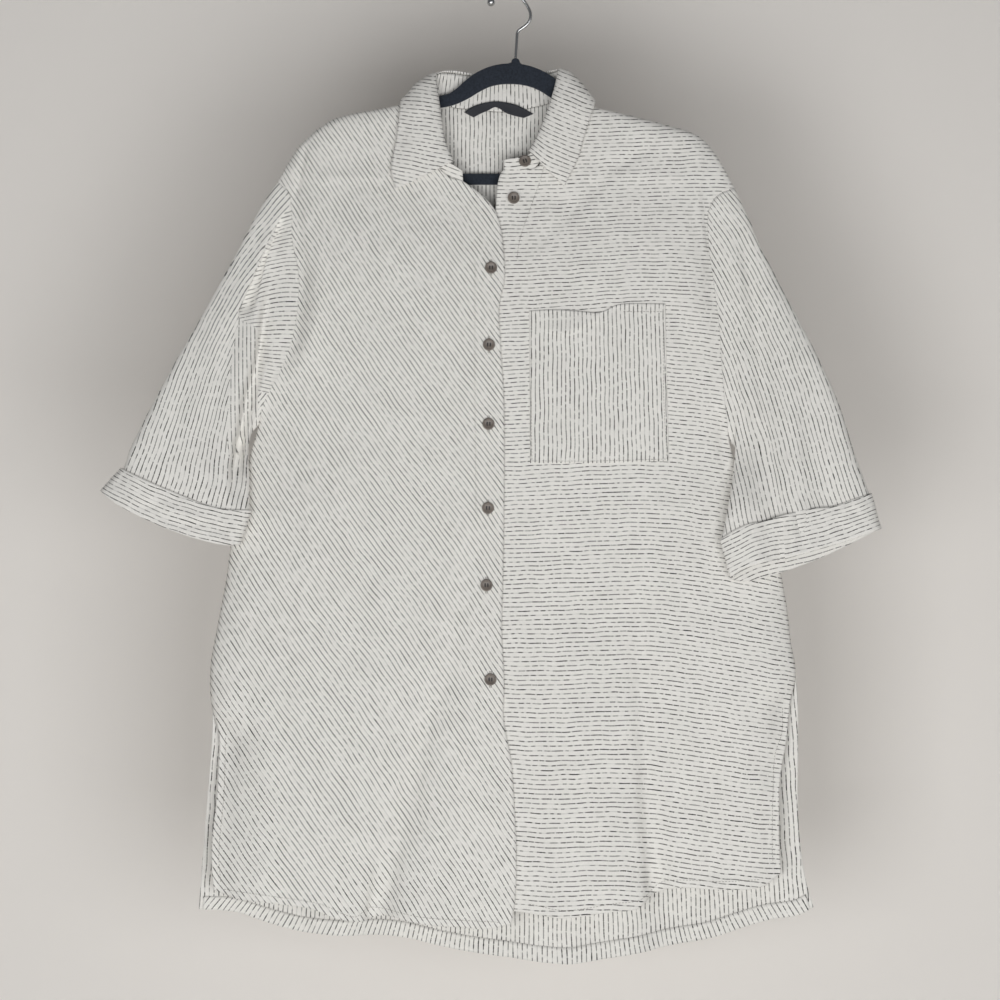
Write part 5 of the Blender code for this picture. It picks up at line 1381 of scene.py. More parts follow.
def hold(grid, reach, sides):
    """0 at the named borders of a grid (top, foot, first, last) and 1 further in."""
    down = np.linalg.norm(np.diff(grid, axis=0), axis=2).mean(axis=1)
    over = np.linalg.norm(np.diff(grid, axis=1), axis=2).mean(axis=0)
    down = np.concatenate(([0.0], np.cumsum(down)))
    over = np.concatenate(([0.0], np.cumsum(over)))
    share = np.ones(grid.shape[:2])
    if "top" in sides:
        share = np.minimum(share, (down / reach)[:, None])
    if "foot" in sides:
        share = np.minimum(share, ((down[-1] - down) / reach)[:, None])
    if "first" in sides:
        share = np.minimum(share, (over / reach)[None, :])
    if "last" in sides:
        share = np.minimum(share, ((over[-1] - over) / reach)[None, :])
    return eased(share).ravel()


def pushed(outer, inner, height, outward):
    """Both faces of a wall moved along the outer face's normal by the height, in mm."""
    normals, _ = grid_normals(outer, outward)
    move = normals * per_point(height, outer)
    return outer + move, inner + move


def nearest_on(line, points):
    """The closest place on a line of corners to each point."""
    starts, steps = line[:-1], np.diff(line, axis=0)
    away = points[:, None] - starts
    share = (away * steps).sum(axis=2) / np.maximum((steps**2).sum(axis=1), 1e-9)
    spots = starts + np.clip(share, 0.0, 1.0)[:, :, None] * steps
    best = np.linalg.norm(points[:, None] - spots, axis=2).argmin(axis=1)
    return spots[np.arange(len(points)), best]


def sewn_to(grid, line, reach):
    """Moves a grid's first row onto a line, and the rows after it less and less."""
    down = np.linalg.norm(np.diff(grid, axis=0), axis=2).mean(axis=1)
    down = np.concatenate(([0.0], np.cumsum(down)))
    shift = nearest_on(line, grid[0]) - grid[0]
    return grid + eased(1.0 - down / reach)[:, None, None] * shift


def plan(grid):
    """x and drop of each point."""
    return grid.reshape(-1, 3)[:, [0, 2]]


# ---------------------------------------------------------------- stripes
def slope_at(table, x, drop):
    """Direction of the stripes in degrees, between the rows and columns of a table."""
    columns, rows = table
    drops = np.array([row[0] for row in rows])
    angles = np.array([row[1:] for row in rows], dtype=float)
    at_columns = np.stack([np.interp(drop, drops, angles[:, i]) for i in range(len(columns))])
    place = np.clip(np.interp(x, columns, np.arange(len(columns))), 0, len(columns) - 1.001)
    low = place.astype(int)
    share = place - low
    picks = np.arange(len(x))
    return at_columns[low, picks] * (1 - share) + at_columns[low + 1, picks] * share


def stripe_lay(points, table, wider=1.0, uneven=0.5, reach=60.0):
    """Stripe number (times the even pitch) and run along it: the best fit to the directions.

    On a coarse grid each step across the stripes asks for a change of number, and each step
    along them for a change of run; all the steps are met as nearly as they can be.
    """
    cell = STRIPE_FIT
    # Past the table its last directions hold only over the reach.
    ends_of_table = [(table[0][0], table[1][0][0]), (table[0][-1], table[1][-1][0])]
    points = np.clip(points, np.array(ends_of_table[0]) - reach, np.array(ends_of_table[1]) + reach)
    low = points.min(axis=0) - 1.5 * cell
    wide, high = (np.ceil((points.max(axis=0) - low) / cell).astype(int) + 3).tolist()
    index = np.arange(wide * high).reshape(high, wide)
    level = np.stack((index[:, :-1], index[:, 1:]), axis=2).reshape(-1, 2)
    upright = np.stack((index[:-1], index[1:]), axis=2).reshape(-1, 2)
    ends = np.concatenate((level, upright))
    nodes = np.stack((low[0] + (index % wide) * cell, low[1] + (index // wide) * cell), axis=2)
    middles = nodes.reshape(-1, 2)[ends].mean(axis=1)
    angle = np.radians(slope_at(table, middles[:, 0], middles[:, 1]))
    pitch = wider * np.interp(middles[:, 1], *np.array(PITCHES).T)
    is_level = np.arange(len(ends)) < len(level)
    number = cell / pitch * np.where(is_level, np.sin(angle), -np.cos(angle))
    run = cell * np.where(is_level, np.cos(angle), np.sin(angle))
    wanted = np.stack((number * STRIPE_PITCH, run), axis=1)
    balance = np.zeros((wide * high, wide * high))
    pull = np.zeros((wide * high, 2))
    for first, second, sign in ((0, 1, 1.0), (1, 0, -1.0)):
        np.add.at(balance, (ends[:, second], ends[:, second]), 1.0)
        np.add.at(balance, (ends[:, second], ends[:, first]), -1.0)
        np.add.at(pull, ends[:, second], sign * wanted)
    balance[0, 0] += 1.0
    field = np.linalg.solve(balance, pull).reshape(high, wide, 2)
    place = (points - low) / cell
    base = np.floor(place).astype(int)
    weights = []
    for share in (place - base).T:
        s2, s3 = share**2, share**3
        weights.append((
            (2 * s2 - s3 - share) / 2, (3 * s3 - 5 * s2 + 2) / 2,
            (4 * s2 - 3 * s3 + share) / 2, (s3 - s2) / 2,
        ))
    lay = np.zeros((len(points), 2))
    for j in range(4):
        for i in range(4):
            part = field[base[:, 1] + j - 1, base[:, 0] + i - 1]
            lay += part * (weights[0][i] * weights[1][j])[:, None]
    lay[:, 0] += uneven * ripple(points, 26.0, 4)
    return lay


# ---------------------------------------------------------------- materials
def linear(colour):
    """An sRGB hex colour as linear light."""
    parts = [int(colour[i : i + 2], 16) / 255.0 for i in (1, 3, 5)]
    return tuple(c / 12.92 if c <= 0.04045 else ((c + 0.055) / 1.055) ** 2.4 for c in parts) + (1.0,)


def node(tree, kind, feeds=None, **fields):
    """Adds a node with its fields; a feed is a value, a node, or a node and its output."""
    made = tree.nodes.new("ShaderNode" + kind)
    for field, value in fields.items():
        setattr(made, field, value)
    for place, value in (feeds or {}).items():
        if isinstance(value, bpy.types.Node):
            value = (value, 0)
        if isinstance(value, tuple) and isinstance(value[0], bpy.types.Node):
            tree.links.new(value[0].outputs[value[1]], made.inputs[place])
        else:
            made.inputs[place].default_value = value
    return made


def fresh(name, **sockets):
    """A new material, its node tree and its shader with these values on its sockets."""
    material = bpy.data.materials.new(name)
    material.use_nodes = True
    shader = material.node_tree.nodes["Principled BSDF"]
    for socket, value in sockets.items():
        shader.inputs[socket.replace("_", " ")].default_value = value
    return material, material.node_tree, shader


def striped_cotton(name, dash, cover, thread, ink, faint=0.0, bead=0.5):
    """Plain-woven cotton with slubby dark yarns that come to the face as broken stripes.

    In mm: dash is the repeat of the dashes, thread the width of a dark yarn. cover is the
    share of the repeat that shows, faint how dark the yarn is between the dashes, and bead
    how much it swells and fades every few threads.
    """
    material, tree, shader = fresh(
        name, Roughness=0.88, Specular_IOR_Level=0.25, Sheen_Weight=0.1, Sheen_Roughness=0.5)
    cut = node(tree, "UVMap", uv_map="cut")
    split = node(tree, "SeparateXYZ", {0: cut})
    across = node(tree, "Math", {0: (split, "X"), 1: 1000.0 / STRIPE_PITCH}, operation="MULTIPLY")
    stripe = node(tree, "Math", {0: across}, operation="ROUND")
    apart = node(tree, "Math", {0: across, 1: stripe}, operation="SUBTRACT")
    off = node(tree, "Math", {0: node(tree, "Math", {0: apart}, operation="ABSOLUTE"),
                              1: STRIPE_PITCH}, operation="MULTIPLY")
    lot = node(tree, "TexWhiteNoise", {"W": stripe}, noise_dimensions="1D")
    shift = node(tree, "Math", {0: lot, 1: 977.0}, operation="MULTIPLY")
    # The loom's beat drifts along each yarn, so that no two dashes are as long.
    drift_at = node(tree, "CombineXYZ", {
        0: node(tree, "Math", {0: (split, "Y"), 1: 450.0 / dash}, operation="MULTIPLY"),
        1: node(tree, "Math", {0: stripe, 1: 5.3}, operation="MULTIPLY")})
    drift = node(tree, "TexNoise", {"Vector": drift_at, "Scale": 1.0, "Detail": 0.0}, noise_dimensions="2D")
    drifted = node(tree, "Math", {0: drift, 1: 1.4, 2: shift}, operation="MULTIPLY_ADD")
    repeats = node(tree, "Math", {0: (split, "Y"), 1: 1000.0 / dash, 2: drifted},
                   operation="MULTIPLY_ADD")
    # Each dash has its own length and darkness, and the dashes of each yarn are staggered.
    place = node(tree, "Math", {0: repeats}, operation="FLOOR")
    within = node(tree, "Math", {0: repeats}, operation="FRACT")
    cell = node(tree, "CombineXYZ", {0: stripe, 1: place})
    own = node(tree, "TexWhiteNoise", {"Vector": cell}, noise_dimensions="2D")
    own_split = node(tree, "SeparateColor", {0: (own, "Color")})
    from_middle = node(tree, "Math", {0: node(tree, "Math", {0: within, 1: 0.5},
                       operation="SUBTRACT")}, operation="ABSOLUTE")
    half = node(tree, "MapRange", {0: (own_split, 0), 3: 0.5 * cover * 0.5, 4: 0.5 * cover * 1.25})
    inside = node(tree, "Math", {0: node(tree, "Math", {0: half, 1: from_middle},
                  operation="SUBTRACT"), 1: dash}, operation="MULTIPLY")
    shown = node(tree, "MapRange", {0: inside, 1: -0.3, 2: 1.1, 3: faint}, interpolation_type="SMOOTHSTEP")
    # Slubs: the yarn swells and fades over 2 to 3 mm.
    spot = node(tree, "CombineXYZ", {
        0: node(tree, "Math", {0: repeats, 1: dash / 2.4}, operation="MULTIPLY"),
        1: node(tree, "Math", {0: stripe, 1: 3.7}, operation="MULTIPLY")})
    slub = node(tree, "TexNoise", {"Vector": spot, "Scale": 1.0, "Detail": 1.0}, noise_dimensions="2D")
    swell = node(tree, "MapRange", {0: slub, 1: 0.3, 2: 0.7, 3: 1.0 - bead, 4: 1.0 + 0.35 * bead})
    width = node(tree, "Math", {0: swell, 1: thread}, operation="MULTIPLY")
    share = node(tree, "Math", {0: off, 1: width}, operation="DIVIDE")
    profile = node(tree, "MapRange", {0: share, 1: 0.40, 2: 0.60, 3: 1.0, 4: 0.0},
                   interpolation_type="SMOOTHSTEP")
    dark = node(tree, "MapRange", {0: (own_split, 1), 3: 0.62, 4: 1.0})
    mask = node(tree, "Math", {0: node(tree, "Math", {0: profile, 1: shown}, operation="MULTIPLY"),
                               1: dark}, operation="MULTIPLY")
    # Undyed ground: blotches a few centimetres wide under a grain of single threads, drawn at
    # 1.1 mm, coarser than the real 0.4 mm, so that it still shows.
    where = node(tree, "TexCoord")
    blotch = node(tree, "TexNoise", {"Vector": (where, "Object"), "Scale": 38.0, "Detail": 3.0})
    grain = node(tree, "TexNoise", {"Vector": (where, "Object"), "Scale": 900.0, "Detail": 2.0})
    uneven = node(tree, "Math", {0: blotch, 1: 0.4,
                  2: node(tree, "Math", {0: grain, 1: 0.6}, operation="MULTIPLY")}, operation="MULTIPLY_ADD")
    ground = node(tree, "Mix", {"Factor": node(tree, "MapRange", {0: uneven, 1: 0.3, 2: 0.7}),
                                "A": linear(COTTON_DARK), "B": linear(COTTON_LIGHT)}, data_type="RGBA")
    colour = node(tree, "Mix", {"Factor": mask, "A": (ground, "Result"), "B": linear(ink)},
                  data_type="RGBA")
    tree.links.new(colour.outputs["Result"], shader.inputs["Base Color"])
    # Plain weave at 0.9 mm, coarser than the real thread so that it shows, over the soft
    # crinkle of washed cotton.
    weave = [node(tree, "TexWave", {"Vector": cut, "Scale": 350.0, "Distortion": 1.0, "Detail": 1.0},
                  bands_direction=way) for way in "XY"]
    thread_up = node(tree, "Math", {0: (weave[0], 1), 1: (weave[1], 1)}, operation="MAXIMUM")
    crinkle = node(tree, "TexNoise", {"Vector": (where, "Object"), "Scale": 150.0, "Detail": 3.0,
                                      "Roughness": 0.6})
    fine = node(tree, "Bump", {"Strength": 0.25, "Distance": 0.00012, "Height": thread_up})
    soft = node(tree, "Bump", {"Strength": 0.55, "Distance": 0.001, "Height": crinkle, "Normal": fine})
    tree.links.new(soft.outputs["Normal"], shader.inputs["Normal"])
    return material


def grained(name, colour, other, grain, depth, **sockets):
    """A material that wavers between two colours, with a bumpy grain; sizes in metres."""
    material, tree, shader = fresh(name, **sockets)
    where = node(tree, "TexCoord")
    tone = node(tree, "TexNoise", {"Vector": (where, "Object"), "Scale": 0.3 / grain, "Detail": 3.0})
    mixed = node(tree, "Mix", {"Factor": node(tree, "MapRange", {0: tone, 1: 0.35, 2: 0.65}),
                               "A": linear(colour), "B": linear(other)}, data_type="RGBA")
    tree.links.new(mixed.outputs["Result"], shader.inputs["Base Color"])
    bumps = node(tree, "TexNoise", {"Vector": (where, "Object"), "Scale": 1.0 / grain, "Detail": 2.0})
    raised = node(tree, "Bump", {"Strength": 0.6, "Distance": depth, "Height": bumps})
    tree.links.new(raised.outputs["Normal"], shader.inputs["Normal"])
    return material


def woven_tape(name, colour, other):
    """Label tape: satin-woven ribs every 0.8 mm."""
    material, tree, shader = fresh(name, Roughness=0.6, Sheen_Weight=0.2, Specular_IOR_Level=0.4)
    cut = node(tree, "UVMap", uv_map="cut")
    ribs = node(tree, "TexWave", {"Vector": cut, "Scale": 400.0, "Distortion": 0.6}, bands_direction="Y")
    mixed = node(tree, "Mix", {"Factor": (ribs, 1), "A": linear(colour), "B": linear(other)},
                 data_type="RGBA")
    tree.links.new(mixed.outputs["Result"], shader.inputs["Base Color"])
    raised = node(tree, "Bump", {"Strength": 0.5, "Distance": 0.0001, "Height": (ribs, 1)})
    tree.links.new(raised.outputs["Normal"], shader.inputs["Normal"])
    return material


# ---------------------------------------------------------------- cloth pieces
def body_fronts(finishes):
    """Both fronts. Returns their armhole edges, outer and inner."""
    edges = {}
    for name, side in (("front_right", RIGHT), ("front_left", LEFT)):
        rows = front_rows(side)
        normals, stretch = grid_normals(rows, towards(0, -1, 0))
        last = len(rows[0]) - 1
        rims = ridge_rims(rows, range(last + 1))
        neck = [((k, 0), mix(side["neck_point"], side["neck_end"], share))
                for k, share in enumerate(NECK_PLACES) if k > 0]
        under_stand_rims(rims, normals, neck)
        rims.update(side_rims(side, -1, last))
        inner = inner_side(rows, normals, stretch, WALL, rims)
        outer, inner = finer((rows, inner), CLOTH_STEP)
        at = plan(outer)
        loose = np.clip((at[:, 1] - 500.0) / 400.0, 0.0, 1.0)
        height = crease_height(at, CREASES[name]) + 0.3 * ripple(at, 34.0, 5)
        height += 1.1 * loose**2 * ripple(at * (1.0, 0.3), 46.0, 6)
        height *= hold(outer, 9.0, ("top", "last"))
        outer, inner = pushed(outer, inner, height, towards(0, -1, 0))
        lay = stripe_lay(at, STRIPE_SLOPES[name], 0.98 if side is RIGHT else 1.0)
        cloth(name, outer, inner, [lay], finishes)
        edges[name] = (outer[:, -1], inner[:, -1])
    return edges


def body_back(finishes):
    """The back and the facing of its hem. Returns the back's armhole edges."""
    back = back_rows()
    normals, stretch = grid_normals(back, towards(0, 1, 0))
    last = len(back[0]) - 1
    first_neck = len(SIDE_INSETS) + SHOULDER_COLUMNS
    after_neck = first_neck + len(BACK_NECK_PLACES)
    rims = ridge_rims(back, range(first_neck))
    rims.update(ridge_rims(back, range(after_neck, last + 1)))
    neck = [((0, first_neck + i), place) for i, place in enumerate(BACK_NECK_PLACES)]
    under_stand_rims(rims, normals, neck)
    rims.update(side_rims(RIGHT, 1, 0))
    rims.update(side_rims(LEFT, 1, last))
    inner = inner_side(back, normals, stretch, WALL, rims)
    outer, inner = finer((back, inner), CLOTH_STEP)
    at = plan(outer)
    loose = np.clip((at[:, 1] - 600.0) / 360.0, 0.0, 1.0)
    height = crease_height(at, CREASES["back_panel"]) + 0.4 * ripple(at, 40.0, 8)
    height += 1.2 * loose**2 * ripple(at * (1.0, 0.3), 50.0, 9)
    height *= hold(outer, 9.0, ("top", "first", "last"))
    outer, inner = pushed(outer, inner, height, towards(0, 1, 0))
    lay = stripe_lay(at, STRIPE_SLOPES["back_panel"], 0.98)
    cloth("back_panel", outer, inner, [lay], finishes)
    rows = np.linalg.norm(np.diff(outer, axis=0), axis=2).mean(axis=1)[::-1].cumsum()
    band = int(np.searchsorted(rows, 15.0)) + 2
    facing = inner[-band:, 2:-2] - np.array((0.0, 0.5, 0.0))
    normals, stretch = grid_normals(facing, towards(0, 1, 0))
    inside = facing - normals * 0.8
    at = plan(facing)
    inside[..., 1] -= (0.4 * ripple(at * (1.0, 0.2), 18.0, 12)).reshape(facing.shape[:2])
    lay = stripe_lay(at, STRIPE_SLOPES["back_hem_facing"])
    cloth("back_hem_facing", facing, inside, [lay], finishes)
    return {"front_right": (outer[:, 0], inner[:, 0]), "front_left": (outer[:, -1], inner[:, -1])}


def tuck_height(points):
    """How deep the right sleeve's tuck lies at each point of its front, in mm."""
    edge, share = near_line(points, TUCK_EDGE)
    drop = points[:, 1]
    # Below the lip the pleat is already as deep as the solid's own step.
    (opens, opens_over), (closes, closes_over) = HOLLOW_OPENS, HOLLOW_CLOSES
    strong = eased((drop - opens) / opens_over) * eased((closes - drop) / closes_over)
    hollow = -TUCK_DEEP * strong * eased(1.0 - edge / HOLLOW_WIDTH)
    # The outer part stands up to its edge, like a fold pressed over the hollow.
    stand = np.exp(-((edge / TUCK_STAND_WIDTH) ** 2)) * eased(share * 8.0)
    stand *= eased((1.0 - share) * 5.0)
    stand *= eased((TUCK_STAND_ENDS[0] - drop) / TUCK_STAND_ENDS[1])
    return np.where(edge > 0.0, hollow, TUCK_STAND * stand)


def sleeves_and_cuffs(finishes, edges):
    for name, side, front in (("right", RIGHT, "front_right"), ("left", LEFT, "front_left")):
        rings = sleeve_rings(side)
        outward = out_of_ring(rings)
        seam = [armhole_inward(side, -1, k) for k in range(len(RING))]
        seam += [armhole_inward(side, 1, k) for k in range(len(RING) - 2, 0, -1)]
        rims = {(0, i): inward for i, inward in enumerate(seam)}
        normals, stretch = grid_normals(rings, outward, True)
        inner = inner_side(rings, normals, stretch, WALL, rims)
        step = TUCKED_STEP if side is RIGHT else CLOTH_STEP
        outer, inner = finer((rings, inner), step, True)
        outer = sewn_to(outer, edges[front][0], 16.0)
        inner = sewn_to(inner, edges[front][1], 16.0)
        piece = "sleeve_" + name
        fine_normals, _ = grid_normals(outer, outward, True)
        front_face = eased(-2.5 * fine_normals[..., 1].ravel())
        at = plan(outer)
        height = crease_height(at, CREASES[piece]) + 0.35 * ripple(at, 30.0, 15)
        if side is RIGHT:
            height += tuck_height(at)
        height *= front_face * hold(outer, 9.0, ("top", "foot"))
        move = fine_normals * per_point(height, outer)
        thin = per_point(np.clip(0.15 * np.abs(height), 0.0, 0.6), outer)
        outer, inner = outer + move, inner + move + fine_normals * thin
        lays = [stripe_lay(at, STRIPE_SLOPES[piece]),
                stripe_lay(at, STRIPE_SLOPES["cuff_" + name], 0.94)]
        if side is RIGHT:
            lays += [stripe_lay(at, STRIPE_SLOPES["tuck_upper"], 0.88, 0.2, 12.0),
                     stripe_lay(at, STRIPE_SLOPES["tuck_shadow"], 0.96, 0.2, 12.0),
                     stripe_lay(at, STRIPE_SLOPES["tuck_under"], 0.96, 0.2, 20.0)]
        cloth(piece, outer, inner, lays, finishes, sleeve_regions(side), True)
        first = len(SLEEVE_ROWS) - 1
        away = (normals * stretch[:, :, None])[first:]
        lining = np.array(rings[first:]) + away * LAY_GAP
        cuff = lining + away * CUFF_WALL
        outer, inner = finer((cuff, lining), 2.6, True)
        piece = "cuff_" + name
        at = plan(outer)
        fine_normals, _ = grid_normals(outer, outward, True)
        front_face = eased(-2.5 * fine_normals[..., 1].ravel())
        height = crease_height(at, CREASES[piece]) * front_face + 0.4 * ripple(at, 16.0, 19)
        outer = outer + fine_normals * per_point(height, outer)
        inner = inner + fine_normals * per_point(np.minimum(height, 0.0), outer)
        lay = stripe_lay(at, STRIPE_SLOPES[piece], 0.94, 0.7)
        cloth(piece, outer, inner, [lay], finishes, None, True)


def sleeve_regions(side):
    """Which layout of stripes each face of a sleeve follows; its turned-up end follows the cuff."""
    cuff_line = np.array([side["cuff_top"](share) for share in np.linspace(0.0, 1.0, 13)])
    cuff_line = cuff_line[np.argsort(cuff_line[:, 0])]

    def pick(centres):
        at = centres[:, [0, 2]]
        region = np.where(at[:, 1] > np.interp(at[:, 0], *cuff_line.T), 1, 0)
        if side is RIGHT:
            x, drop = at.T
            front = centres[:, 1] < 0.0
            edge, _ = near_line(at, TUCK_EDGE)
            lip, _ = near_line(at, TUCK_LIP)
            turned_from, turned_to = TURNED_DROPS
            past = front & (edge > 0.0) & (drop > turned_from)
            pleat = past & (x < PLEAT_SIDE_X) & (lip < 0.0)
            pleat &= (drop > PLEAT_DROPS[0]) & (drop < PLEAT_DROPS[1])
            region = np.where(past & (drop < turned_to), 2, region)
            region = np.where(past & (drop >= turned_to) & (drop < UNDERLAP_FOOT), 4, region)
            region = np.where(pleat, 3, region)
        return region

    return pick


def collar(finishes):
    rows = stand_rows()
    normals, stretch = grid_normals(rows, out_of_neck)
    rims = {}
    for k, place in enumerate(neck_stations()):
        _, outward, _ = neck_frame(place)
        for i in range(len(STAND_SHARES)):
            rims[(k, i)] = -outward
    inner = inner_side(rows, normals, stretch, COLLAR_WALL, rims)
    outer, inner = finer((rows, inner), 2.6)
    height = 0.25 * ripple(plan(outer), 14.0, 33)
    inner = inner - grid_normals(outer, out_of_neck)[0] * per_point(height, outer)
    lays = [collar_lay(outer), stripe_lay(plan(outer), STRIPE_SLOPES["stand_ends"])]
    cloth("collar_stand", outer, inner, lays, finishes,
          lambda centres: (centres[:, 2] > STAND_END_DROP) * 1)
    rows = leaf_rows()
    normals, stretch = grid_normals(rows, out_of_neck)
    rims = {}
    for k, place in enumerate(neck_stations()[1:-1]):
        _, _, lift = neck_frame(place)
        rims[(k, 0)] = -lift
    inner = inner_side(rows, normals, stretch, COLLAR_WALL, rims)
    outer, inner = finer((rows, inner), 2.6)
    at = plan(outer)
    high, wide = outer.shape[:2]
    across = np.linspace(0.0, 1.0, wide)
    bulge = (LEAF_RISE * np.sin(math.pi * across) ** 2)[None, :]
    height = bulge + 0.35 * ripple(at, 17.0, 31).reshape(high, wide)
    move = grid_normals(outer, out_of_neck)[0] * (height * eased(across * 4.0))[:, :, None]
    outer, inner = outer + move, inner + move
    lays = [collar_lay(outer), stripe_lay(at, STRIPE_SLOPES["leaf_right"]),
            stripe_lay(at, STRIPE_SLOPES["leaf_left"])]

    def pick(centres):
        front = centres[:, 1] < 1.0
        return np.where(front & (centres[:, 0] < NECK_MIDDLE), 1, np.where(front, 2, 0))

    cloth("collar_leaf", outer, inner, lays, finishes, pick)


def collar_lay(grid):
    """Stripes square to the neck: counted round it, running from the stand to the edge."""
    around = np.linalg.norm(np.diff(grid, axis=0), axis=2)[:, -1]
    number = np.concatenate(([0.0], np.cumsum(around)))
    down = np.linalg.norm(np.diff(grid, axis=1), axis=2).mean(axis=0)
    run = np.concatenate(([0.0], np.cumsum(down)))
    lay = np.stack(np.meshgrid(number * STRIPE_PITCH / PITCHES[0][1], run, indexing="ij"), axis=2)
    return lay.reshape(-1, 2)


def pocket_and_label(finishes):
    panel = front_rows(LEFT)
    pocket = between(POCKET_TOP, POCKET_FOOT, 24, 24, 0.0)
    for row in pocket:
        for point in row:
            point[1] = surface_depth(panel, point[0], point[2]) - 0.15
    under, = finer((pocket,), 1.7)
    at = plan(under)
    height = 0.7 + crease_height(at, CREASES["chest_pocket"]) + 0.25 * ripple(at, 30.0, 3)
    height += 0.8 * hold(under, 14.0, ("foot", "first", "last"))
    move = grid_normals(under, towards(0, -1, 0))[0] * per_point(height, under)
    lay = stripe_lay(at, STRIPE_SLOPES["chest_pocket"], 1.03)
    cloth("chest_pocket", under + move, under, [lay], finishes)
    stand_depth = neck_at(LABEL_SEAT_PLACE)[0][1]
    label_depth = stand_depth - COLLAR_WALL - LAY_GAP - LABEL_WALL
    label, = finer((between(LABEL_TOP, LABEL_FOOT, 16, 3, label_depth),), 1.6)
    at = plan(label)
    front = label.copy()
    front[..., 1] -= (0.5 * ripple(at, 22.0, 41)).reshape(label.shape[:2]) + 0.2
    back = front + np.array((0.0, LABEL_WALL, 0.0))
    cloth("neck_label", front, back, [at], finishes)


# ---------------------------------------------------------------- trims
def bars(name, ends, thickness):
    """Short four-sided threads between pairs of points, in mm."""
    ends = np.array(ends, dtype=float)
    a, b = ends[:, 0], ends[:, 1]
    run = (b - a) / np.linalg.norm(b - a, axis=1)[:, None]
    side = np.cross(run, np.array((0.0, 1.0, 0.0)))
    side = side / np.linalg.norm(side, axis=1)[:, None]
    up = np.cross(run, side)
    corners = []
    for end, lift in ((a, -0.3), (a * 0.7 + b * 0.3, 0.3), (a * 0.3 + b * 0.7, 0.3), (b, -0.3)):
        for over, above in ((-0.5, 0.0), (0.0, 0.5), (0.5, 0.0), (0.0, -0.5)):
            depth = np.array((0.0, -lift * thickness, 0.0))
            corners.append(end + side * over * thickness + up * above * thickness + depth)
    points = np.stack(corners, axis=1).reshape(-1, 3)
    faces = [(3, 2, 1, 0), (12, 13, 14, 15)]
    for ring in range(3):
        for i in range(4):
            j = (i + 1) % 4
            faces.append((ring * 4 + i, ring * 4 + j, ring * 4 + 4 + j, ring * 4 + 4 + i))
    all_faces = [tuple(16 * k + i for i in face) for k in range(len(a)) for face in faces]
    mesh = bpy.data.meshes.new(name)
    mesh.from_pydata([world(point) for point in points], [], all_faces)
    mesh.shade_smooth()
    return mesh


def thread_on(piece, places, above):
    """A thread's two ends on the front of a piece, in a list; empty where one of them misses."""
    pair = []
    for x, drop in places:
        found, spot, _, _ = piece.ray_cast((x * 0.001, -1.0, -drop * 0.001), (0, 1, 0))
        if found:
            pair.append((x, spot[1] * 1000.0 - above, drop))
    return [pair] if len(pair) == 2 else []


def stitching(finish):
    """Rows of stitches along the table's lines, laid on the front of each piece."""
    for name, lines in SEWN.items():
        piece = bpy.data.objects[name + "_piece"]
        ends = []
        for line in lines:
            edge = along(line)
            length = sum(math.dist(a, b) for a, b in zip(line, line[1:]))
            count = int(length / (STITCH + STITCH_GAP))
            for k in range(count):
                shares = (k / count, (k + STITCH / (STITCH + STITCH_GAP)) / count)
                ends += thread_on(piece, [edge(share) for share in shares], 0.1)
        mesh = bars("stitching_on_" + name, ends, THREAD)
        show("stitching_on_" + name, mesh, name, [finish])


def button_shape():
    """A moulded button with a rounded rim, a dished face, four holes drawn as flat discs in painted shade,
    and two bars of thread.
    """
    half, height = BUTTON_WIDTH * 0.5, BUTTON_HEIGHT
    profile = (
        (0.0, 0.0), (0.80, 0.0), (0.95, 0.18), (1.0, 0.45), (0.985, 0.72), (0.93, 0.92), (0.85, 1.0),
        (0.76, 0.96), (0.68, 0.80), (0.60, 0.70), (0.0, 0.66),
    )
    sides = 40
    points, faces, kinds = [(0.0, 0.0, 0.0)], [], []
    rings = [[0] * sides]
    for radius, rise in profile[1:-1]:
        rings.append(list(range(len(points), len(points) + sides)))
        for i in range(sides):
            angle = 2.0 * math.pi * i / sides
            points.append((half * radius * math.cos(angle), -height * rise, half * radius * math.sin(angle)))
    rings.append([len(points)] * sides)
    points.append((0.0, -height * profile[-1][1], 0.0))
    for lower, upper in zip(rings, rings[1:]):
        for i in range(sides):
            j = (i + 1) % sides
            face = [lower[i], upper[i], upper[j], lower[j]]
            faces.append(list(dict.fromkeys(face)))
            kinds.append(0)
    # The holes are flat discs just above the face, painted dark as the shade inside a hole.
    level = height * profile[-1][1] + 0.06
    for x in (-1.45, 1.45):
        for z in (-1.45, 1.45):
            start = len(points)
            for i in range(12):
                angle = 2.0 * math.pi * i / 12
                points.append((x + 0.85 * math.cos(angle), -level, z + 0.85 * math.sin(angle)))
            faces.append(list(range(start, start + 12)))
            kinds.append(1)
    for x in (-1.3, 1.3):
        for k in range(3):
            start = len(points)
            offset = x + (k - 1) * 0.34
            for z, lift in ((-1.9, -0.1), (-1.3, 0.5), (1.3, 0.5), (1.9, -0.1)):
                for over, above in ((-0.24, 0.0), (0.0, 0.26), (0.24, 0.0), (0.0, -0.2)):
                    points.append((offset + over, -level - lift - above, z))
            for ring in range(3):
                for i in range(4):
                    j = (i + 1) % 4
                    faces.append([start + ring * 4 + i, start + ring * 4 + j,
                                  start + ring * 4 + 4 + j, start + ring * 4 + 4 + i])
                    kinds.append(2)
    return np.array(points) * 0.001, faces, kinds


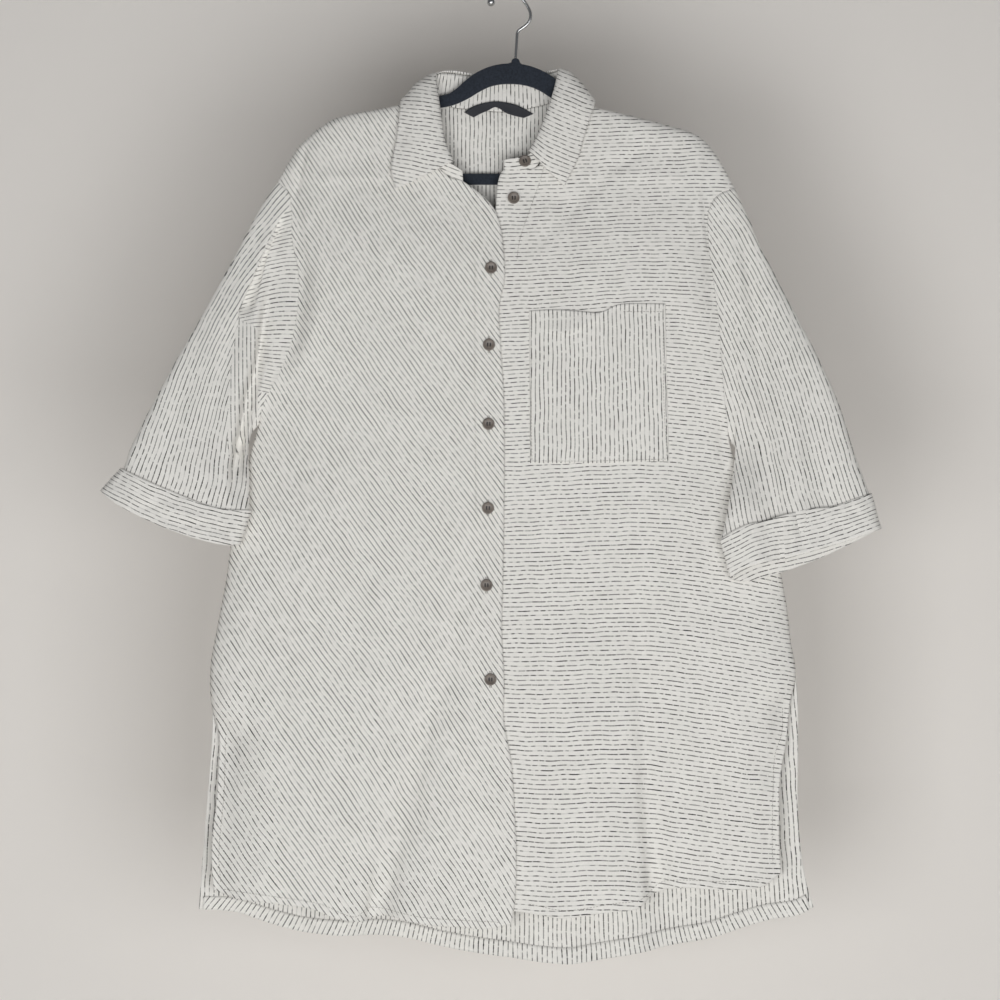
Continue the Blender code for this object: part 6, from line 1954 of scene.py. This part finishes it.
def buttons(finishes):
    """Each button lies on what it is sewn to, leaning as the cloth leans there."""
    points, faces, kinds = button_shape()
    carriers = {"stand": stand_rows(), "left": front_rows(LEFT), "right": front_rows(RIGHT)}
    reach = BUTTON_WIDTH * 0.25
    for number, (x, drop, carrier) in enumerate(BUTTONS, start=1):
        rows = carriers[carrier]
        above, below = (surface_depth(rows, x, drop + way * reach) for way in (-1, 1))
        left, right = (surface_depth(rows, x + way * reach, drop) for way in (-1, 1))
        middle = min(surface_depth(rows, x, drop), (above + below) / 2.0, (left + right) / 2.0)
        tilt = math.atan((below - above) / (2.0 * reach))
        turn = math.atan((right - left) / (2.0 * reach))
        swing = 0.0
        if carrier == "stand":
            tilt, swing = tilt - COLLAR_BUTTON_TILT, COLLAR_BUTTON_SWING
            middle -= COLLAR_BUTTON_LIFT
        name = "button_%d" % number
        mesh = bpy.data.meshes.new(name)
        mesh.from_pydata(points.tolist(), [], faces)
        mesh.polygons.foreach_set("material_index", kinds)
        seat = Matrix.Translation(world((x, middle - BUTTON_SEAT, drop)))
        mesh.transform(seat @ Euler((tilt, swing, turn)).to_matrix().to_4x4())
        mesh.shade_smooth()
        show(name + "_piece", mesh, name, finishes)


def buttonholes(finish):
    """Upright buttonholes under the buttons of the front, worked round in close thread."""
    piece = bpy.data.objects["front_right_piece"]
    ends = []
    for x, drop, _ in BUTTONS[2:]:
        for row in range(BUTTONHOLE_ROWS):
            level = drop - BUTTONHOLE / 2.0 + row * BUTTONHOLE / (BUTTONHOLE_ROWS - 1)
            for a, b in BUTTONHOLE_SIDES:
                ends += thread_on(piece, [(x + a, level), (x + b, level)], 0.12)
    mesh = bars("buttonholes", ends, BUTTONHOLE_THREAD)
    show("buttonholes_on_front_right", mesh, "front_right", [finish])


def as_mesh(curve, name, sharp):
    """A curve's surface as a mesh, smooth except at edges sharper than the angle."""
    item = placed(name + "_curve", curve)
    bpy.context.view_layer.update()
    seen = item.evaluated_get(bpy.context.evaluated_depsgraph_get())
    mesh = bpy.data.meshes.new_from_object(seen)
    bpy.data.objects.remove(item)
    shape = bmesh.new()
    shape.from_mesh(mesh)
    bmesh.ops.remove_doubles(shape, verts=shape.verts, dist=1e-6)
    bmesh.ops.recalc_face_normals(shape, faces=shape.faces)
    shape.to_mesh(mesh)
    shape.free()
    mesh.shade_smooth()
    mesh.set_sharp_from_angle(angle=sharp)
    mesh.name = name
    mesh.materials.clear()
    return mesh


def hanger(finishes):
    """Arms and bar with rounded edges, and the bent wire hook."""
    curve = bpy.data.curves.new("hanger_body", "CURVE")
    curve.dimensions = "2D"
    curve.fill_mode = "BOTH"
    edge = 1.3
    curve.extrude = (HANGER_THICKNESS / 2.0 - edge) * 0.001
    curve.bevel_depth = edge * 0.001
    curve.offset = -edge * 0.001
    curve.bevel_resolution = 3
    for loop in hanger_loops():
        spline = curve.splines.new("POLY")
        spline.points.add(len(loop) - 1)
        for point, (x, drop) in zip(spline.points, loop):
            point.co = (x * 0.001, -drop * 0.001, 0.0, 1.0)
        spline.use_cyclic_u = True
    mesh = as_mesh(curve, "hanger_body", math.radians(50.0))
    mesh.transform(Euler((math.pi / 2.0, 0.0, 0.0)).to_matrix().to_4x4())
    show("hanger_body_piece", mesh, "hanger_body", [finishes["hanger_body"]])
    curve = bpy.data.curves.new("hanger_hook", "CURVE")
    curve.dimensions = "3D"
    curve.bevel_depth = HOOK_RADIUS * 0.001
    curve.bevel_resolution = 6
    curve.use_fill_caps = True
    sections = hook_sections()
    spline = curve.splines.new("POLY")
    spline.points.add(len(sections) - 1)
    for point, ((x, drop), radius) in zip(spline.points, sections):
        point.co = (x * 0.001, 0.0, -drop * 0.001, 1.0)
        point.radius = radius
    mesh = as_mesh(curve, "hanger_hook", math.radians(60.0))
    show("hanger_hook_piece", mesh, "hanger_hook", [finishes["hanger_hook"]])


# ---------------------------------------------------------------- the room
def room():
    """A wall and a floor. Matt paint: even and without a highlight, so that the cloth stands out."""
    material, tree, shader = fresh("matt emulsion on plaster", Base_Color=linear(WALL_COLOUR),
                                   Roughness=0.9, Specular_IOR_Level=0.2)
    # Seen from behind, the wall is clear, so that the back of the tunic can be looked at.
    clear = node(tree, "BsdfTransparent")
    facing = node(tree, "NewGeometry")
    choice = node(tree, "MixShader", {0: (facing, "Backfacing"), 1: (shader, "BSDF"), 2: clear})
    output = next(n for n in tree.nodes if n.type == "OUTPUT_MATERIAL")
    tree.links.new(choice.outputs["Shader"], output.inputs["Surface"])
    paint = fresh("pale floor paint", Base_Color=linear(FLOOR_COLOUR), Roughness=0.8)[0]
    for name, finish, corners in (
        ("wall", material, [(-WALL_HALF, WALL_Y, WALL_FOOT), (WALL_HALF, WALL_Y, WALL_FOOT),
                            (WALL_HALF, WALL_Y, WALL_TOP), (-WALL_HALF, WALL_Y, WALL_TOP)]),
        ("floor", paint, [(-FLOOR_HALF, -FLOOR_HALF, FLOOR_Z), (FLOOR_HALF, -FLOOR_HALF, FLOOR_Z),
                          (FLOOR_HALF, FLOOR_HALF, FLOOR_Z), (-FLOOR_HALF, FLOOR_HALF, FLOOR_Z)]),
    ):
        mesh = bpy.data.meshes.new(name)
        mesh.from_pydata(corners, [], [(0, 1, 2, 3)])
        mesh.materials.append(finish)
        placed(name, mesh)


def camera_and_lights():
    camera = bpy.data.cameras.new("camera")
    holder = placed("camera", camera)
    camera.sensor_width = SENSOR
    camera.lens = SENSOR * CAMERA_DISTANCE
    holder.location = (CAMERA_X, CAMERA_PLANE - CAMERA_DISTANCE, CAMERA_Z)
    holder.rotation_euler = (math.pi / 2.0, 0.0, 0.0)
    bpy.context.scene.camera = holder
    for name, place, target, size, power in LAMPS:
        lamp = bpy.data.lights.new(name, "AREA")
        lamp.shape = "SQUARE"
        lamp.size = size
        lamp.energy = power
        holder = placed(name, lamp)
        holder.location = place
        aim = Vector(target) - Vector(place)
        holder.rotation_euler = aim.to_track_quat("-Z", "Y").to_euler()
    world_light = bpy.data.worlds.new("studio")
    world_light.use_nodes = True
    sky = world_light.node_tree.nodes["Background"].inputs
    sky["Color"].default_value = linear(SKY_COLOUR)
    sky["Strength"].default_value = SKY_STRENGTH
    bpy.context.scene.world = world_light
    bpy.context.scene.view_settings.view_transform = "Standard"


def build():
    """Makes every finish and every piece."""
    # Cotton: matt and pale, so the eye goes to the broken dark dashes and the way they turn.
    level = striped_cotton("striped cotton, short dashes", 9.5, 0.88, 1.0, "#0E1012", 0.22, 0.25)
    bias = striped_cotton("striped cotton, cut on the bias", 15.0, 1.0, 0.95, "#101214", 0.30, 0.35)
    upright = striped_cotton("striped cotton, long dashes", 13.0, 0.97, 1.0, "#101214", 0.25, 0.35)
    finishes = {"front_right": bias, "front_left": level, "collar_leaf": level, "collar_stand": level}
    for name in ("back_panel", "back_hem_facing", "sleeve_right", "sleeve_left", "chest_pocket"):
        finishes[name] = upright
    finishes["cuff_right"] = finishes["cuff_left"] = upright
    # Tape: fine ribs that break up a dull sheen.
    finishes["neck_label"] = woven_tape("woven label tape, black", "#1E2026", "#2C2F37")
    # Flock: nearly black face on, with a soft paler bloom where its fibres are seen edge on.
    finishes["hanger_body"] = grained(
        "flocked plastic, short navy fibre", "#20262F", "#2B323D", 0.0006, 0.00025,
        Roughness=0.95, Sheen_Weight=0.35, Sheen_Roughness=0.4)
    # Chrome: the room mirrored along the bend, as bright and dark streaks.
    finishes["hanger_hook"] = grained("steel wire, chromed", "#B9BABB", "#C6C7C8", 0.02, 0.00002,
                                      Roughness=0.16, Metallic=1.0)
    # Buttons: mottled, with a soft gloss on the rim, and holes that read as dark dots: flat discs painted
    # with the shade inside a hole.
    horn = grained("moulded polyester, horn coloured", "#7C736B", "#6A625B", 0.004, 0.00003,
                   Roughness=0.34)
    painted_hole_shade = grained("shadowed holes", "#2A2623", "#23201E", 0.002, 0.00001, Roughness=0.8)
    # Thread: matt and finely rough, so that single stitches show.
    dark_thread = grained("twisted polyester thread, charcoal", "#2B2A2B", "#383637", 0.0004, 0.00006,
                          Roughness=0.7)
    # Pale cotton thread made darker than the cloth: partly its own grey tone, partly painted shade that
    # stands for the shadow along the sewn lines and in the buttonholes.
    thread_greyed_as_seam_shade = grained("twisted cotton thread, greyed with painted seam shade", "#A9A69F", "#94918A", 0.0004, 0.00006,
                          Roughness=0.8)
    edges = body_fronts(finishes)
    back_edges = body_back(finishes)
    joined = {}
    for name, (outer, inner) in edges.items():
        other_outer, other_inner = back_edges[name]
        joined[name] = (np.concatenate((outer[::-1], other_outer)),
                        np.concatenate((inner[::-1], other_inner)))
    sleeves_and_cuffs(finishes, joined)
    collar(finishes)
    pocket_and_label(finishes)
    bpy.context.view_layer.update()
    stitching(thread_greyed_as_seam_shade)
    buttonholes(thread_greyed_as_seam_shade)
    buttons([horn, painted_hole_shade, dark_thread])
    hanger(finishes)


build()
room()
camera_and_lights()
